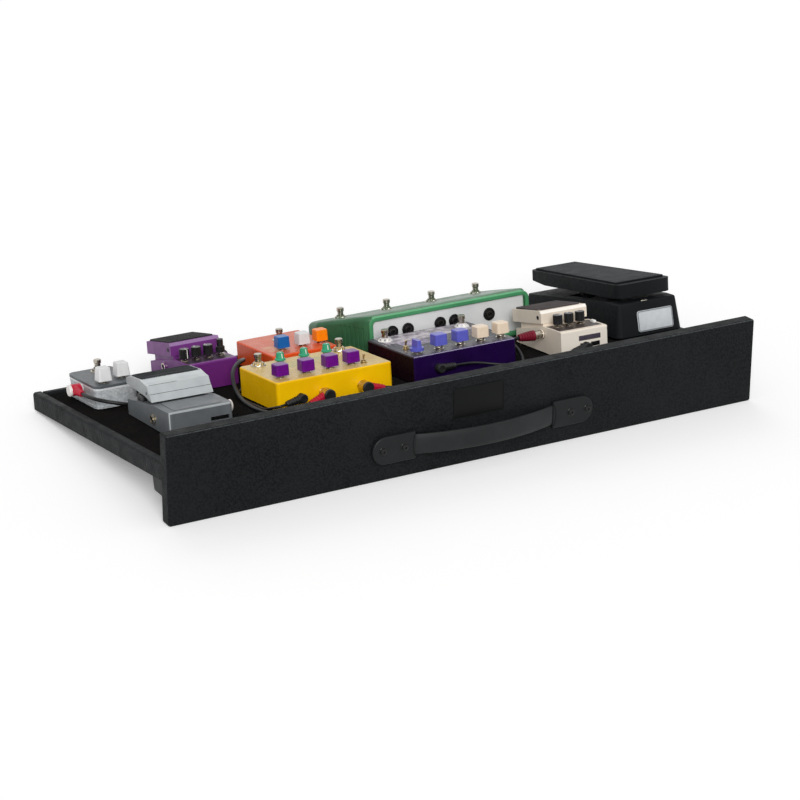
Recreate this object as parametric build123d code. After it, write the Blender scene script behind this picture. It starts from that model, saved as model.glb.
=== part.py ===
from build123d import *
import math
import os

# A loaded pedal board: a covered plywood board that slides out of its case by the
# strap on its front wall, with nine effect pedals hook-and-looped to the sloping
# deck and patched together. Millimetres. X runs along the front wall, Y from the
# wall towards the player, Z up. The origin lies on the floor, in the middle.

# Board
board_width = 889.0
board_depth = 460.5            # measured along the sloping rim, from the wall's face
wall_height = 121.0
wall_thickness = 20.0
wall_overhang = 4.0            # wall past the side rails' outer faces
rim_width = 14.0
rim_height = 24.4
rear_rail_height = 27.2        # deeper than the side rails: this rail stands on the floor
rim_rise = 80.2                # rim's top edge above the floor, at the wall's face
rim_lip = 4.0                  # rim above the carpet
pile_height = 3.0
panel_thickness = 12.0
covering_radius = 4.0
wall_corner_radius = 3.5
wall_edge_radius = 2.5
gusset_length = 37.0
gusset_width = 30.0
gusset_foot = 32.0             # underside of a gusset above the floor
gusset_radius = 4.0
rear_row = 288.0               # front of the green pedal, from the wall's face
green_depth = 150.0
rear_row_gap = 8.5             # between the green pedal and the rear rail

# Strap handle on the wall
handle_offset = 7.0            # right of the wall's middle
handle_height = 43.5           # centre line above the floor
handle_cap_spacing = 276.0
cap_length = 64.0
cap_width = 38.5
cap_thickness = 6.5
strap_width = 28.0
strap_thickness = 4.4
strap_gap = 0.3                # round the strap's ends
strap_bow = 17.0               # how far the strap stands out in the middle
strap_seat = 7.0               # strap that runs into each cap

# Fittings shared by the pedals
tape_thickness = 2.5
running_gap = 0.3
nut_flats = 10.0
nut_height = 2.2
switch_nut_flats = 14.0
switch_nut_height = 2.4
bushing_diameter = 12.0
bushing_height = 5.0
bushing_bore_depth = 9.0
plunger_diameter = 8.6
plunger_clearance = 0.1        # radial, in the bushing
plunger_cap_diameter = 10.6
plunger_cap_height = 6.0
plunger_neck_height = 5.5      # stem seen between bushing and cap
plunger_stem_depth = 4.0       # stem inside the bushing
switch_washer_thickness = 1.0
knob_shaft_diameter = 6.0
knob_lift = 3.4                # knob's underside above the enclosure
high_knob_lift = 6.4           # of the violet pedal's square knobs
jack_nut_diameter = 13.0
jack_nut_height = 2.6
jack_hole_diameter = 7.0
jack_recess = 1.8
pin_diameter = 4.0
pin_clearance = 0.06

half_width = board_width / 2
rear_reach = math.hypot(board_depth, rear_rail_height)
slope = math.asin(rim_rise / rear_reach) - math.atan2(rear_rail_height, board_depth)
handle_reach = strap_gap + strap_bow + strap_thickness
board_reach = (
    (board_depth - covering_radius) * math.cos(slope)
    - covering_radius * math.sin(slope)
    + covering_radius
)
front_y = (handle_reach - board_reach) / 2
wall_back_y = front_y + wall_thickness
carpet_top = -rim_lip
pedal_seat = carpet_top + tape_thickness
layout_depth = rear_row + green_depth + rear_row_gap
layout_start = board_depth - rim_width - layout_depth
deck_frame = Plane(
    origin=(
        -half_width,
        front_y + layout_start * math.cos(slope),
        rim_rise - layout_start * math.sin(slope),
    ),
    x_dir=(1, 0, 0),
    z_dir=(0, math.sin(slope), math.cos(slope)),
)

nodes = {}


def slope_point(v, w):
    """Y and Z of a point at v along the slope and w above the rim's top."""
    y = front_y + v * math.cos(slope) + w * math.sin(slope)
    z = rim_rise - v * math.sin(slope) + w * math.cos(slope)
    return y, z


def wall_point(w):
    """Y and Z where the line at w above the rim's top meets the wall's back."""
    z = rim_rise + w / math.cos(slope) - wall_thickness * math.tan(slope)
    return wall_back_y, z


def on_deck(shape, x, v, w=pedal_seat, yaw=0.0):
    """Place a shape drawn at its own front left corner on the sloping deck."""
    return deck_frame.location * Location((x, v, w), (0, 0, yaw)) * shape


def side_profile(points, width, x=0.0):
    """Extrude a closed outline in Y and Z along X, from x to x + width."""
    outline = Polyline(*[(0, y, z) for y, z in points], close=True)
    return Pos(x, 0, 0) * extrude(make_face(outline), amount=width, dir=(1, 0, 0))


def box_at(width, depth, height, x=0.0, y=0.0, z=0.0):
    """Box from its lower front left corner."""
    shape = Box(width, depth, height, align=(Align.MIN, Align.MIN, Align.MIN))
    return Pos(x, y, z) * shape


def upright(radius, height, x=0.0, y=0.0, z=0.0):
    """Cylinder standing on its lower face."""
    shape = Cylinder(radius, height, align=(Align.CENTER, Align.CENTER, Align.MIN))
    return Pos(x, y, z) * shape


facings = {
    "right": Rot(0, 90, 0),
    "left": Rot(0, -90, 0),
    "back": Rot(-90, 0, 0),
    "front": Rot(90, 0, 0),
}


def lying(radius, length, x, y, z, facing="right"):
    """Cylinder from a point, lying along one of the facings."""
    shape = Cylinder(radius, length, align=(Align.CENTER, Align.CENTER, Align.MIN))
    return Pos(x, y, z) * facings[facing] * shape


def long_edges(shape, axis, length):
    """Edges along an axis that are at least as long as length."""
    return shape.edges().filter_by(axis).filter_by(lambda edge: edge.length >= length)


# ---------------------------------------------------------------- board


def make_front_wall():
    """Covered plywood wall: rounded corners, softened outline on both faces."""
    outline = RectangleRounded(board_width + 2 * wall_overhang, wall_height, wall_corner_radius)
    wall = extrude(outline, amount=wall_thickness)
    rims = wall.faces().sort_by(Axis.Z)[0].edges() + wall.faces().sort_by(Axis.Z)[-1].edges()
    wall = fillet(rims, min(wall_edge_radius, wall_thickness * 0.4))
    return Pos(0, front_y + wall_thickness, wall_height / 2) * Rot(90, 0, 0) * wall


def make_side_rail(x):
    points = [
        wall_point(0),
        slope_point(board_depth, 0),
        slope_point(board_depth, -rim_height),
        wall_point(-rim_height),
    ]
    rail = side_profile(points, rim_width, x)
    top = rail.edges().filter_by(lambda edge: edge.length > board_depth * 0.8)
    top = top.sort_by(Axis.Z)[-2:]
    return fillet(top, covering_radius)


def make_rear_rail():
    inner = board_depth - rim_width
    floor_outer = -(rim_rise - board_depth * math.sin(slope)) / math.cos(slope)
    floor_inner = -(rim_rise - inner * math.sin(slope)) / math.cos(slope)
    points = [
        slope_point(inner, 0),
        slope_point(board_depth, 0),
        slope_point(board_depth, floor_outer),
        slope_point(inner, floor_inner),
    ]
    length = board_width - 2 * rim_width
    rail = side_profile(points, length, -half_width + rim_width)
    top = long_edges(rail, Axis.X, length * 0.9).sort_by(Axis.Z)[-2:]
    return fillet(top, covering_radius)


def make_deck_layer(low, high):
    """Sheet between the rails, from low to high below the rim's top."""
    inner = board_depth - rim_width
    points = [
        wall_point(high),
        slope_point(inner, high),
        slope_point(inner, low),
        wall_point(low),
    ]
    return side_profile(points, board_width - 2 * rim_width, -half_width + rim_width)


def make_gusset(x):
    top_front = wall_point(-rim_height)
    top_rear = slope_point(wall_thickness + gusset_length, -rim_height)
    points = [
        top_front,
        top_rear,
        (top_rear[0] - gusset_radius, gusset_foot),
        (wall_back_y, gusset_foot),
    ]
    gusset = side_profile(points, gusset_width, x)
    corner = long_edges(gusset, Axis.X, gusset_width * 0.9).sort_by(Axis.Z)[:2]
    return fillet(corner.sort_by(Axis.Y)[-1:], gusset_radius)


def make_board():
    panel_top = carpet_top - pile_height
    left = -half_width
    right = half_width - rim_width
    nodes["front_wall"] = [make_front_wall()]
    nodes["deck_panel"] = [make_deck_layer(panel_top - panel_thickness, panel_top)]
    nodes["hook_and_loop"] = [make_deck_layer(panel_top, carpet_top)]
    nodes["rim_rails"] = [make_side_rail(left), make_side_rail(right), make_rear_rail()]
    nodes["corner_gussets"] = [make_gusset(left), make_gusset(half_width - gusset_width)]


# ---------------------------------------------------------------- handle


def make_handle_cap(side):
    """D-ended cap, round end outwards, with a mouth for the strap."""
    radius = cap_width / 2
    straight = cap_length - radius
    outline = make_face(
        Polyline((0, -radius), (straight, -radius))
        + RadiusArc((straight, -radius), (straight, radius), -radius)
        + Polyline((straight, radius), (0, radius), (0, -radius))
    )
    cap = extrude(outline, amount=cap_thickness)
    rim = cap.faces().sort_by(Axis.Z)[-1].edges()
    cap = fillet(rim, cap_thickness * 0.35)
    mouth = box_at(
        strap_seat + strap_gap,
        strap_width + 2 * strap_gap,
        strap_thickness + 2 * strap_gap,
        0,
        -strap_width / 2 - strap_gap,
        0,
    )
    cap = cap - mouth
    x = handle_offset + side * (handle_cap_spacing / 2 - cap_length / 2)
    turn = 0 if side > 0 else 180
    return Pos(x, front_y, handle_height) * Rot(90, 0, 0) * Rot(0, 0, turn) * cap


def make_strap():
    """Rubber strap, bowed outwards between the caps."""
    half_span = handle_cap_spacing / 2 - cap_length / 2
    end = half_span + strap_seat
    back = -strap_gap
    inner = (
        Polyline((-end, back), (-half_span, back))
        + ThreePointArc((-half_span, back), (0, back - strap_bow), (half_span, back))
        + Polyline((half_span, back), (end, back))
    )
    face = back - strap_thickness
    outer = (
        Polyline((end, back), (end, face), (half_span, face))
        + ThreePointArc((half_span, face), (0, face - strap_bow), (-half_span, face))
        + Polyline((-half_span, face), (-end, face), (-end, back))
    )
    strap = extrude(make_face(inner + outer), amount=strap_width)
    strap = Pos(handle_offset, front_y, handle_height - strap_width / 2) * strap
    return strap


def make_handle():
    nodes["handle_caps"] = [make_handle_cap(-1), make_handle_cap(1)]
    nodes["handle_strap"] = [make_strap()]


# ---------------------------------------------------------------- fittings


def knob_nut(x, v, top):
    """Hex nut that holds a pot, with the end of its thread."""
    nut = extrude(RegularPolygon(nut_flats / 2, 6, major_radius=False), amount=nut_height)
    return Pos(x, v, top) * nut


def switch_seat(x, v, top):
    """Washer, hex nut and bushing of a footswitch."""
    washer = upright(switch_nut_flats * 0.72, switch_washer_thickness, x, v, top)
    sides = RegularPolygon(switch_nut_flats / 2, 6, major_radius=False)
    nut = Pos(x, v, top + switch_washer_thickness) * extrude(sides, amount=switch_nut_height)
    bushing = upright(bushing_diameter / 2, bushing_height, x, v, top)
    return washer + nut + bushing


def switch_bore(x, v, top):
    """Room for the plunger in the bushing and the enclosure's top."""
    radius = plunger_diameter / 2 + plunger_clearance
    floor = top + bushing_height - bushing_bore_depth
    return upright(radius, bushing_bore_depth + 1, x, v, floor)


def make_plunger():
    """Footswitch button about its own axis, from the bushing's mouth upwards."""
    stem = plunger_diameter / 2
    cap = plunger_cap_diameter / 2
    cap_low = plunger_neck_height
    cap_top = cap_low + plunger_cap_height
    chamfer_size = 0.8
    outline = Polyline(
        (0, -plunger_stem_depth),
        (stem, -plunger_stem_depth),
        (stem, cap_low),
        (cap, cap_low + (cap - stem)),
        (cap, cap_top - chamfer_size),
        (cap - chamfer_size, cap_top),
        (0, cap_top),
        close=True,
    )
    profile = make_face(Plane.XZ * outline)
    return revolve(profile, Axis.Z)


def add_shaft(knob, lift=knob_lift):
    """Pot shaft under a knob drawn from its underside at z = 0."""
    length = lift - nut_height - running_gap
    return knob + upright(knob_shaft_diameter / 2, length + 0.5, 0, 0, -length)


def square_knob(size, height, taper, lift=knob_lift):
    """Rounded square knob that narrows upwards."""
    sketch = RectangleRounded(size, size, size * 0.18)
    body = extrude(sketch, amount=height, taper=taper)
    top = body.faces().sort_by(Axis.Z)[-1].edges()
    return add_shaft(chamfer(top, 0.8), lift)


def domed_knob(diameter, height):
    """Turned knob with a wide skirt under a tapered grip."""
    skirt = height * 0.28
    outline = Polyline(
        (0, 0),
        (diameter / 2, 0),
        (diameter / 2, skirt * 0.6),
        (diameter * 0.4, skirt),
        (diameter * 0.34, height - 1.2),
        (diameter * 0.26, height),
        (0, height),
        close=True,
    )
    return add_shaft(revolve(make_face(Plane.XZ * outline), Axis.Z))


def fluted_knob(diameter, height, flutes=10):
    """Round knob with grip flutes down its side."""
    body = upright(diameter / 2, height)
    top = body.faces().sort_by(Axis.Z)[-1].edges()
    body = chamfer(top, 0.6)
    cutter = upright(diameter * 0.09, height, diameter * 0.53, 0, 0)
    for index in range(flutes):
        body = body - Rot(0, 0, index * 360 / flutes) * cutter
    return add_shaft(body)


def stacked_knob(diameter, height):
    """Two knobs on one axis, the upper one narrower."""
    ring = fluted_knob(diameter, height * 0.45)
    upper = upright(diameter * 0.36, height * 0.55, 0, 0, height * 0.45)
    return ring + upper


def pointer_knob(size, height):
    """Knob with a tapered grip bar over a round skirt."""
    skirt = upright(size / 2, height * 0.28)
    bar = extrude(RectangleRounded(size * 0.42, size * 0.96, size * 0.12), amount=height, taper=5)
    return add_shaft(skirt + bar)


def jack_nut(x, v, w, facing):
    """Round jack nut on a side, with a shallow dark mouth."""
    nut = upright(jack_nut_diameter / 2, jack_nut_height)
    mouth = upright(jack_hole_diameter / 2, jack_nut_height, 0, 0, jack_nut_height - jack_recess)
    return Pos(x, v, w) * facings[facing] * (nut - mouth)


def die_cast_box(width, depth, height, corner, edge):
    """Cast enclosure: rounded corners and a softened top edge."""
    shape = box_at(width, depth, height)
    shape = fillet(shape.edges().filter_by(Axis.Z), corner)
    return fillet(shape.faces().sort_by(Axis.Z)[-1].edges(), edge)


tapes = []


def lay_tape(x, v, width, depth, yaw=0.0, thickness=tape_thickness):
    """Hook strip between a pedal and the carpet."""
    margin = 6.0
    strip = box_at(width - 2 * margin, depth - 2 * margin, thickness, margin, margin, 0)
    tapes.append(on_deck(strip, x, v, carpet_top, yaw))


def place_knob(name, knob, pedal, x, v, top, lift=knob_lift):
    """Stand a knob on a pedal whose place is (x, v, yaw)."""
    origin_x, origin_v, yaw = pedal
    place = Location((origin_x, origin_v, pedal_seat), (0, 0, yaw)) * Location((x, v, top + lift))
    nodes[name] = [deck_frame.location * place * knob]


def place_plunger(name, pedal, x, v, top):
    origin_x, origin_v, yaw = pedal
    height = top + bushing_height
    place = Location((origin_x, origin_v, pedal_seat), (0, 0, yaw)) * Location((x, v, height))
    nodes[name] = [deck_frame.location * place * make_plunger()]


# ---------------------------------------------------------------- small silver pedal

mini_place = (36.7, 317.6, 0.0)
mini_width = 64.0
mini_depth = 101.0
mini_height = 31.2
mini_plate = 3.5
mini_switch = (39.0, 84.0)
mini_corner = 10.0
mini_knobs = {"mini_knob_1": (20.3, 19.4), "mini_knob_2": (51.3, 30.4)}
mini_knob_size = 20.0
mini_knob_height = 18.0
mini_jack = (51.0, 19.5)        # depth and height of the side jack


def make_mini_pedal():
    """Tapered cast shell on a flange, under an overhanging top plate."""
    shell_height = mini_height - mini_plate
    flange = box_at(mini_width, mini_depth, 2.5)
    flange = fillet(flange.edges().filter_by(Axis.Z), mini_corner)
    low = Pos(mini_width / 2, mini_depth / 2, 2.5) * RectangleRounded(mini_width - 5, mini_depth - 5, mini_corner - 1)
    high = Pos(mini_width / 2, mini_depth / 2, shell_height) * RectangleRounded(mini_width, mini_depth, mini_corner)
    shell = loft(Sketch() + [low, high])
    plate = box_at(mini_width, mini_depth, mini_plate, 0, 0, shell_height)
    plate = fillet(plate.edges().filter_by(Axis.Z), mini_corner)
    case = flange + shell + plate + switch_seat(*mini_switch, mini_height)
    case = case - switch_bore(*mini_switch, mini_height)
    for x, v in mini_knobs.values():
        case = case + knob_nut(x, v, mini_height)
    case = case + jack_nut(1.5, mini_jack[0], mini_jack[1], "left")
    x, v, yaw = mini_place
    nodes["mini_case"] = [on_deck(case, x, v, pedal_seat, yaw)]
    lay_tape(x, v, mini_width, mini_depth, yaw)
    place_plunger("mini_footswitch", mini_place, *mini_switch, mini_height)
    for name, (knob_x, knob_v) in mini_knobs.items():
        knob = square_knob(mini_knob_size, mini_knob_height, 7)
        place_knob(name, knob, mini_place, knob_x, knob_v, mini_height)


# ---------------------------------------------------------------- compact treadle pedals

compact_width = 74.5
compact_length = 129.0
compact_shelf = 38.0
compact_shelf_depth = 50.0
compact_toe = 20.0             # body height at the player's end
treadle_front = 55.0
treadle_rear = 138.0
treadle_front_height = 58.0
treadle_rear_height = 46.5
treadle_skirt = 18.0
treadle_wall = 3.0
treadle_travel = 3.0           # room under the treadle's roof
compact_pin = (64.0, 47.5)
treadle_front_wall = 1.6
housing_gap = 0.4              # between housing and treadle's front wall
housing_rear_inset = 8.0      # the housing ends short of the body
housing_crown = 14.0           # level part of the housing's top, behind its front
compact_knob_height = 13.6
compact_knob_diameter = 13.6


def treadle_roof(v, drop=0.0):
    """Height of the treadle's top at v, less a drop."""
    share = (v - treadle_front) / (treadle_rear - treadle_front)
    return treadle_front_height + share * (treadle_rear_height - treadle_front_height) - drop


def compact_body():
    """Cast body: knob shelf, falling sides and the housing under the treadle."""
    shelf_end = compact_shelf_depth
    sides = [
        (0, 0),
        (compact_length, 0),
        (compact_length, compact_toe),
        (shelf_end, compact_shelf - 1),
        (0, compact_shelf),
    ]
    body = side_profile(sides, compact_width)
    body = fillet(long_edges(body, Axis.X, compact_width * 0.9).sort_by(Axis.Y)[:2].sort_by(Axis.Z)[-1:], 2.5)
    inset = treadle_wall + 1.0
    roof_drop = treadle_wall + treadle_travel
    housing_front = treadle_front + treadle_front_wall + housing_gap
    housing_rear = compact_length - housing_rear_inset
    housing = side_profile(
        [
            (housing_front, compact_shelf - 8),
            (housing_rear, compact_toe - 6),
            (housing_rear, treadle_roof(housing_rear, roof_drop + 2.5)),
            (housing_front + housing_crown, treadle_roof(housing_front + housing_crown, roof_drop)),
            (housing_front, treadle_roof(housing_front, roof_drop)),
        ],
        compact_width - 2 * inset,
        inset,
    )
    return body + housing


def compact_treadle():
    """Hollow cast treadle with a raised rubber pad."""
    skirt = [
        (treadle_front, treadle_roof(treadle_front, treadle_skirt)),
        (treadle_rear, treadle_roof(treadle_rear, treadle_skirt)),
        (treadle_rear, treadle_rear_height),
        (treadle_front + 3, treadle_front_height),
        (treadle_front, treadle_front_height - 4),
    ]
    shell = side_profile(skirt, compact_width)
    inner_front = treadle_front + treadle_front_wall
    inner_rear = treadle_rear - treadle_wall
    hollow = side_profile(
        [
            (inner_front, treadle_roof(inner_front, treadle_skirt + 10)),
            (inner_rear, treadle_roof(inner_rear, treadle_skirt + 10)),
            (inner_rear, treadle_roof(inner_rear, treadle_wall)),
            (inner_front, treadle_roof(inner_front, treadle_wall)),
        ],
        compact_width - 2 * treadle_wall,
        treadle_wall,
    )
    pad_front = treadle_front + 12.0
    pad = side_profile(
        [
            (pad_front, treadle_roof(pad_front, 0.2)),
            (treadle_rear - 3, treadle_roof(treadle_rear - 3, 0.2)),
            (treadle_rear - 3, treadle_roof(treadle_rear - 3, -1.6)),
            (pad_front, treadle_roof(pad_front, -1.6)),
        ],
        compact_width - 8,
        4,
    )
    return shell - hollow + pad


def make_compact_pedal(prefix, place, row, knob_columns, jack, stacked_last):
    """Compact pedal with its treadle and a row of fluted knobs."""
    pin_v, pin_w = compact_pin
    pin_radius = pin_diameter / 2
    pin = lying(pin_radius, compact_width - 1, 0.5, pin_v, pin_w)
    hole = lying(pin_radius + pin_clearance, compact_width + 2, -1, pin_v, pin_w)
    case = compact_body() - lying(pin_radius + 0.02, compact_width + 2, -1, pin_v, pin_w)
    for x in knob_columns:
        case = case + knob_nut(x, row, compact_shelf - 0.66)
    jack_v, jack_w = jack
    case = case + jack_nut(0, jack_v, jack_w, "left") + jack_nut(compact_width, jack_v, jack_w, "right")
    x, v, yaw = place
    nodes[prefix + "_case"] = [on_deck(case, x, v, pedal_seat, yaw), on_deck(pin, x, v, pedal_seat, yaw)]
    nodes[prefix + "_treadle"] = [on_deck(compact_treadle() - hole, x, v, pedal_seat, yaw)]
    lay_tape(x, v, compact_width, compact_length, yaw)
    for index, column in enumerate(knob_columns):
        if stacked_last and index == len(knob_columns) - 1:
            knob = stacked_knob(12.5, compact_knob_height + 5)
        else:
            knob = fluted_knob(compact_knob_diameter, compact_knob_height)
        name = prefix + "_knob_" + str(index + 1)
        place_knob(name, knob, place, column, row, compact_shelf)


rail_clearance = 0.8
purple_place = (173.3, layout_depth - rail_clearance - compact_length, 0.0)
purple_row = 28.3
purple_jack = (80.0, 21.0)
purple_columns = [8.4, 26.4, 44.6, 63.2]
cream_place = (657.0, 126.5, -3.0)
cream_row = 35.0
cream_jack = (52.0, 26.5)
cream_power = (38.0, 13.5)
cream_columns = [15.5, 33.5, 51.5]


# ---------------------------------------------------------------- grey pedal

grey_place = (57.3, 125.0, -2.0)
grey_width = 89.5
grey_length = 150.0
grey_front_height = 32.5
grey_toe_height = 20.5
grey_shelf_depth = 56.0
grey_treadle_front = 60.0
grey_treadle_rear = 147.0
grey_treadle_steps = [(0.0, 33.6), (6.0, 42.5), (7.0, 42.5), (13.0, 53.0), (24.0, 54.2), (38.0, 57.0)]
grey_treadle_fall = [(-12.5, 54.6), (0.0, 50.0), (0.0, 42.0)]    # measured from its rear
grey_treadle_skirt = (26.0, 38.0)
grey_housing_inset = 9.0
grey_housing_end = 26.0        # the housing stops short of the treadle's rear
grey_skirt_wall = 3.5
grey_end_wall = 5.0
grey_slot = (26.0, 5.5, 58.0, 12.0)     # width, height, and its place across and up
grey_pin = (76.0, 43.0)
grey_jack = (55.0, 12.5)


def make_grey_pedal():
    """Wide pedal whose silver treadle has a stepped face and a raised pad."""
    body = side_profile(
        [
            (0, 0),
            (grey_length, 0),
            (grey_length, grey_toe_height),
            (grey_shelf_depth, grey_front_height - 1),
            (0, grey_front_height),
        ],
        grey_width,
    )
    shelf_rise = 1.0
    body = fillet(body.edges().filter_by(Axis.Z), 5)
    step = box_at(grey_width - 22, grey_shelf_depth - 12, shelf_rise + 1, 11, 9, grey_front_height - 1.6)
    housing_rear = grey_treadle_rear - grey_housing_end
    housing = side_profile(
        [
            (grey_treadle_front + 10, grey_toe_height),
            (housing_rear, grey_toe_height - 4),
            (housing_rear, 40),
            (grey_treadle_front + 18, 46),
            (grey_treadle_front + 10, 38),
        ],
        grey_width - 2 * grey_housing_inset,
        grey_housing_inset,
    )
    slot_width, slot_height, slot_x, slot_w = grey_slot
    slot = box_at(slot_width, 3, slot_height, slot_x, -1, slot_w)
    pin_v, pin_w = grey_pin
    radius = pin_diameter / 2
    case = body + step + housing - slot
    case = case + jack_nut(0, grey_jack[0], grey_jack[1], "left")
    case = case + jack_nut(grey_width, grey_jack[0], grey_jack[1], "right")
    case = case - lying(radius + 0.02, grey_width + 2, -1, pin_v, pin_w)
    pin = lying(radius, grey_width - 1, 0.5, pin_v, pin_w)
    front, rear = grey_treadle_front, grey_treadle_rear
    outer = [(front + along, height) for along, height in grey_treadle_steps]
    outer = outer + [(rear + along, height) for along, height in grey_treadle_fall]
    outer = outer + [(front + grey_treadle_skirt[0], grey_treadle_skirt[1])]
    inner = [
        (front + 4.0, 30.0),
        (front + 4.0, 34.0),
        (front + 13.0, 50.2),
        (rear - 14.0, 50.2),
        (rear - grey_end_wall, 46.0),
        (rear - grey_end_wall, 30.0),
    ]
    treadle = side_profile(outer, grey_width - 2, 1)
    hollow_width = grey_width - 2 - 2 * grey_skirt_wall
    treadle = treadle - side_profile(inner, hollow_width, 1 + grey_skirt_wall)
    treadle = treadle - lying(radius + pin_clearance, grey_width + 2, -1, pin_v, pin_w)
    x, v, yaw = grey_place
    nodes["grey_case"] = [on_deck(case, x, v, pedal_seat, yaw), on_deck(pin, x, v, pedal_seat, yaw)]
    nodes["grey_treadle"] = [on_deck(treadle, x, v, pedal_seat, yaw)]
    lay_tape(x, v, grey_width, grey_length, yaw)


# ---------------------------------------------------------------- boxed pedals

orange_place = (294.6, 299.0, 0.0)
orange_size = (101.2, 119.8, 33.1)
orange_switch = (51.5, 82.0)
orange_knobs = {
    "orange_knob_1": (29.8, 31.0),
    "orange_knob_2": (62.0, 31.0),
    "orange_knob_3": (90.2, 31.0),
}
yellow_place = (221.5, 141.7, 0.0)
yellow_size = (174.0, 116.0, 39.8)
yellow_switches = {"yellow_footswitch_1": (24.5, 104.0), "yellow_footswitch_2": (149.0, 104.0)}
yellow_columns = [19.0, 57.5, 93.5, 126.0]
yellow_row = 26.3
yellow_mini_columns = [55.0, 91.2, 126.0]
yellow_mini_row = 98.0
yellow_toggle = (140.5, 18.3)
yellow_jacks = {"in": 68.0, "out": 126.0}
yellow_jack_height = 15.0
yellow_power = (33.0, 15.0)
violet_place = (432.4, 149.5, 0.0)
violet_size = (165.0, 131.0, 37.1)
violet_switches = {"violet_footswitch_1": (17.6, 109.0), "violet_footswitch_2": (142.6, 109.0)}
violet_columns = [17.1, 52.1, 86.1, 118.8, 151.6]
violet_row = 18.5
violet_toggle = (15.6, 47.0)
violet_power = (38.0, 16.5)
orange_power = (38.0, 13.5)     # depth and height on the left side
boxed_knob_size = 19.5
boxed_knob_height = 15.0
small_knob_diameter = 15.0
small_knob_height = 11.0
toggle_diameter = 6.0
toggle_height = 3.0


def make_boxed_pedal(prefix, place, size, switches, knobs, toggles, jacks, corner, lifts={}):
    """Cast box with footswitches, knob nuts and mini toggles."""
    width, depth, height = size
    case = die_cast_box(width, depth, height, corner, 2.5)
    for x, v in switches.values():
        case = case + switch_seat(x, v, height) - switch_bore(x, v, height)
    for x, v, _ in knobs.values():
        case = case + knob_nut(x, v, height)
    for x, v in toggles:
        case = case + upright(toggle_diameter / 2, toggle_height, x, v, height)
    for x in jacks:
        case = case + jack_nut(x, 0, yellow_jack_height, "front")
    x, v, yaw = place
    nodes[prefix + "_case"] = [on_deck(case, x, v, pedal_seat, yaw)]
    lay_tape(x, v, width, depth, yaw)
    for name, (switch_x, switch_v) in switches.items():
        place_plunger(name, place, switch_x, switch_v, height)
    for name, (knob_x, knob_v, knob) in knobs.items():
        place_knob(name, knob, place, knob_x, knob_v, height, lifts.get(name, knob_lift))


def make_orange_pedal():
    knobs = {}
    for name, (x, v) in orange_knobs.items():
        knobs[name] = (x, v, square_knob(18.5, 15.5, 3))
    switches = {"orange_footswitch": orange_switch}
    make_boxed_pedal("orange", orange_place, orange_size, switches, knobs, [], [], 4)


def make_yellow_pedal():
    knobs = {}
    for index, x in enumerate(yellow_columns):
        knob = square_knob(boxed_knob_size, boxed_knob_height, 2)
        knobs["yellow_knob_" + str(index + 1)] = (x, yellow_row, knob)
    for index, x in enumerate(yellow_mini_columns):
        knob = domed_knob(small_knob_diameter, small_knob_height)
        knobs["yellow_small_knob_" + str(index + 1)] = (x, yellow_mini_row, knob)
    jacks = yellow_jacks.values()
    make_boxed_pedal("yellow", yellow_place, yellow_size, yellow_switches, knobs, [yellow_toggle], jacks, 5)


def make_violet_pedal():
    knobs = {}
    lifts = {}
    for index, x in enumerate(violet_columns):
        if index == 0:
            knob = pointer_knob(boxed_knob_size, boxed_knob_height)
        else:
            knob = square_knob(boxed_knob_size, boxed_knob_height, 2, high_knob_lift)
            lifts["violet_knob_" + str(index + 1)] = high_knob_lift
        knobs["violet_knob_" + str(index + 1)] = (x, violet_row, knob)
    make_boxed_pedal("violet", violet_place, violet_size, violet_switches, knobs, [violet_toggle], [], 4, lifts)


# ---------------------------------------------------------------- green four-switch pedal

green_place = (405.0, rear_row, 0.0)
green_width = 309.0
green_rear_inset = (36.0, 8.0)     # the rear is narrower, left and right
green_height = 66.0
green_ridge = 12.0                 # depth of the level top behind the rear panel
green_front_height = 36.5
green_rim = 6.0
green_rim_radius = 1.4
green_rim_depth = 3.0
green_switches = [47.0, 123.5, 199.2, 275.2]
green_switch_row = 105.0
green_jacks = [37.0, 62.5, 115.5, 139.5, 197.5]
green_jack_height = 39.5
green_jack_radius = 9.0
green_jack_hole = 3.4
green_corner = 14.0
green_lobe_radius = 38.0           # the two far corners
green_far_inset = 6.0
green_bulge = 92.0                 # where the body is widest
green_flutes = 6
green_flute_start = 11.0
green_flute_pitch = 7.5


def green_top(v):
    """Height of the sloping top at v."""
    share = (v - green_ridge) / (green_depth - green_ridge)
    return green_height + max(share, 0) * (green_front_height - green_height)


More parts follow.
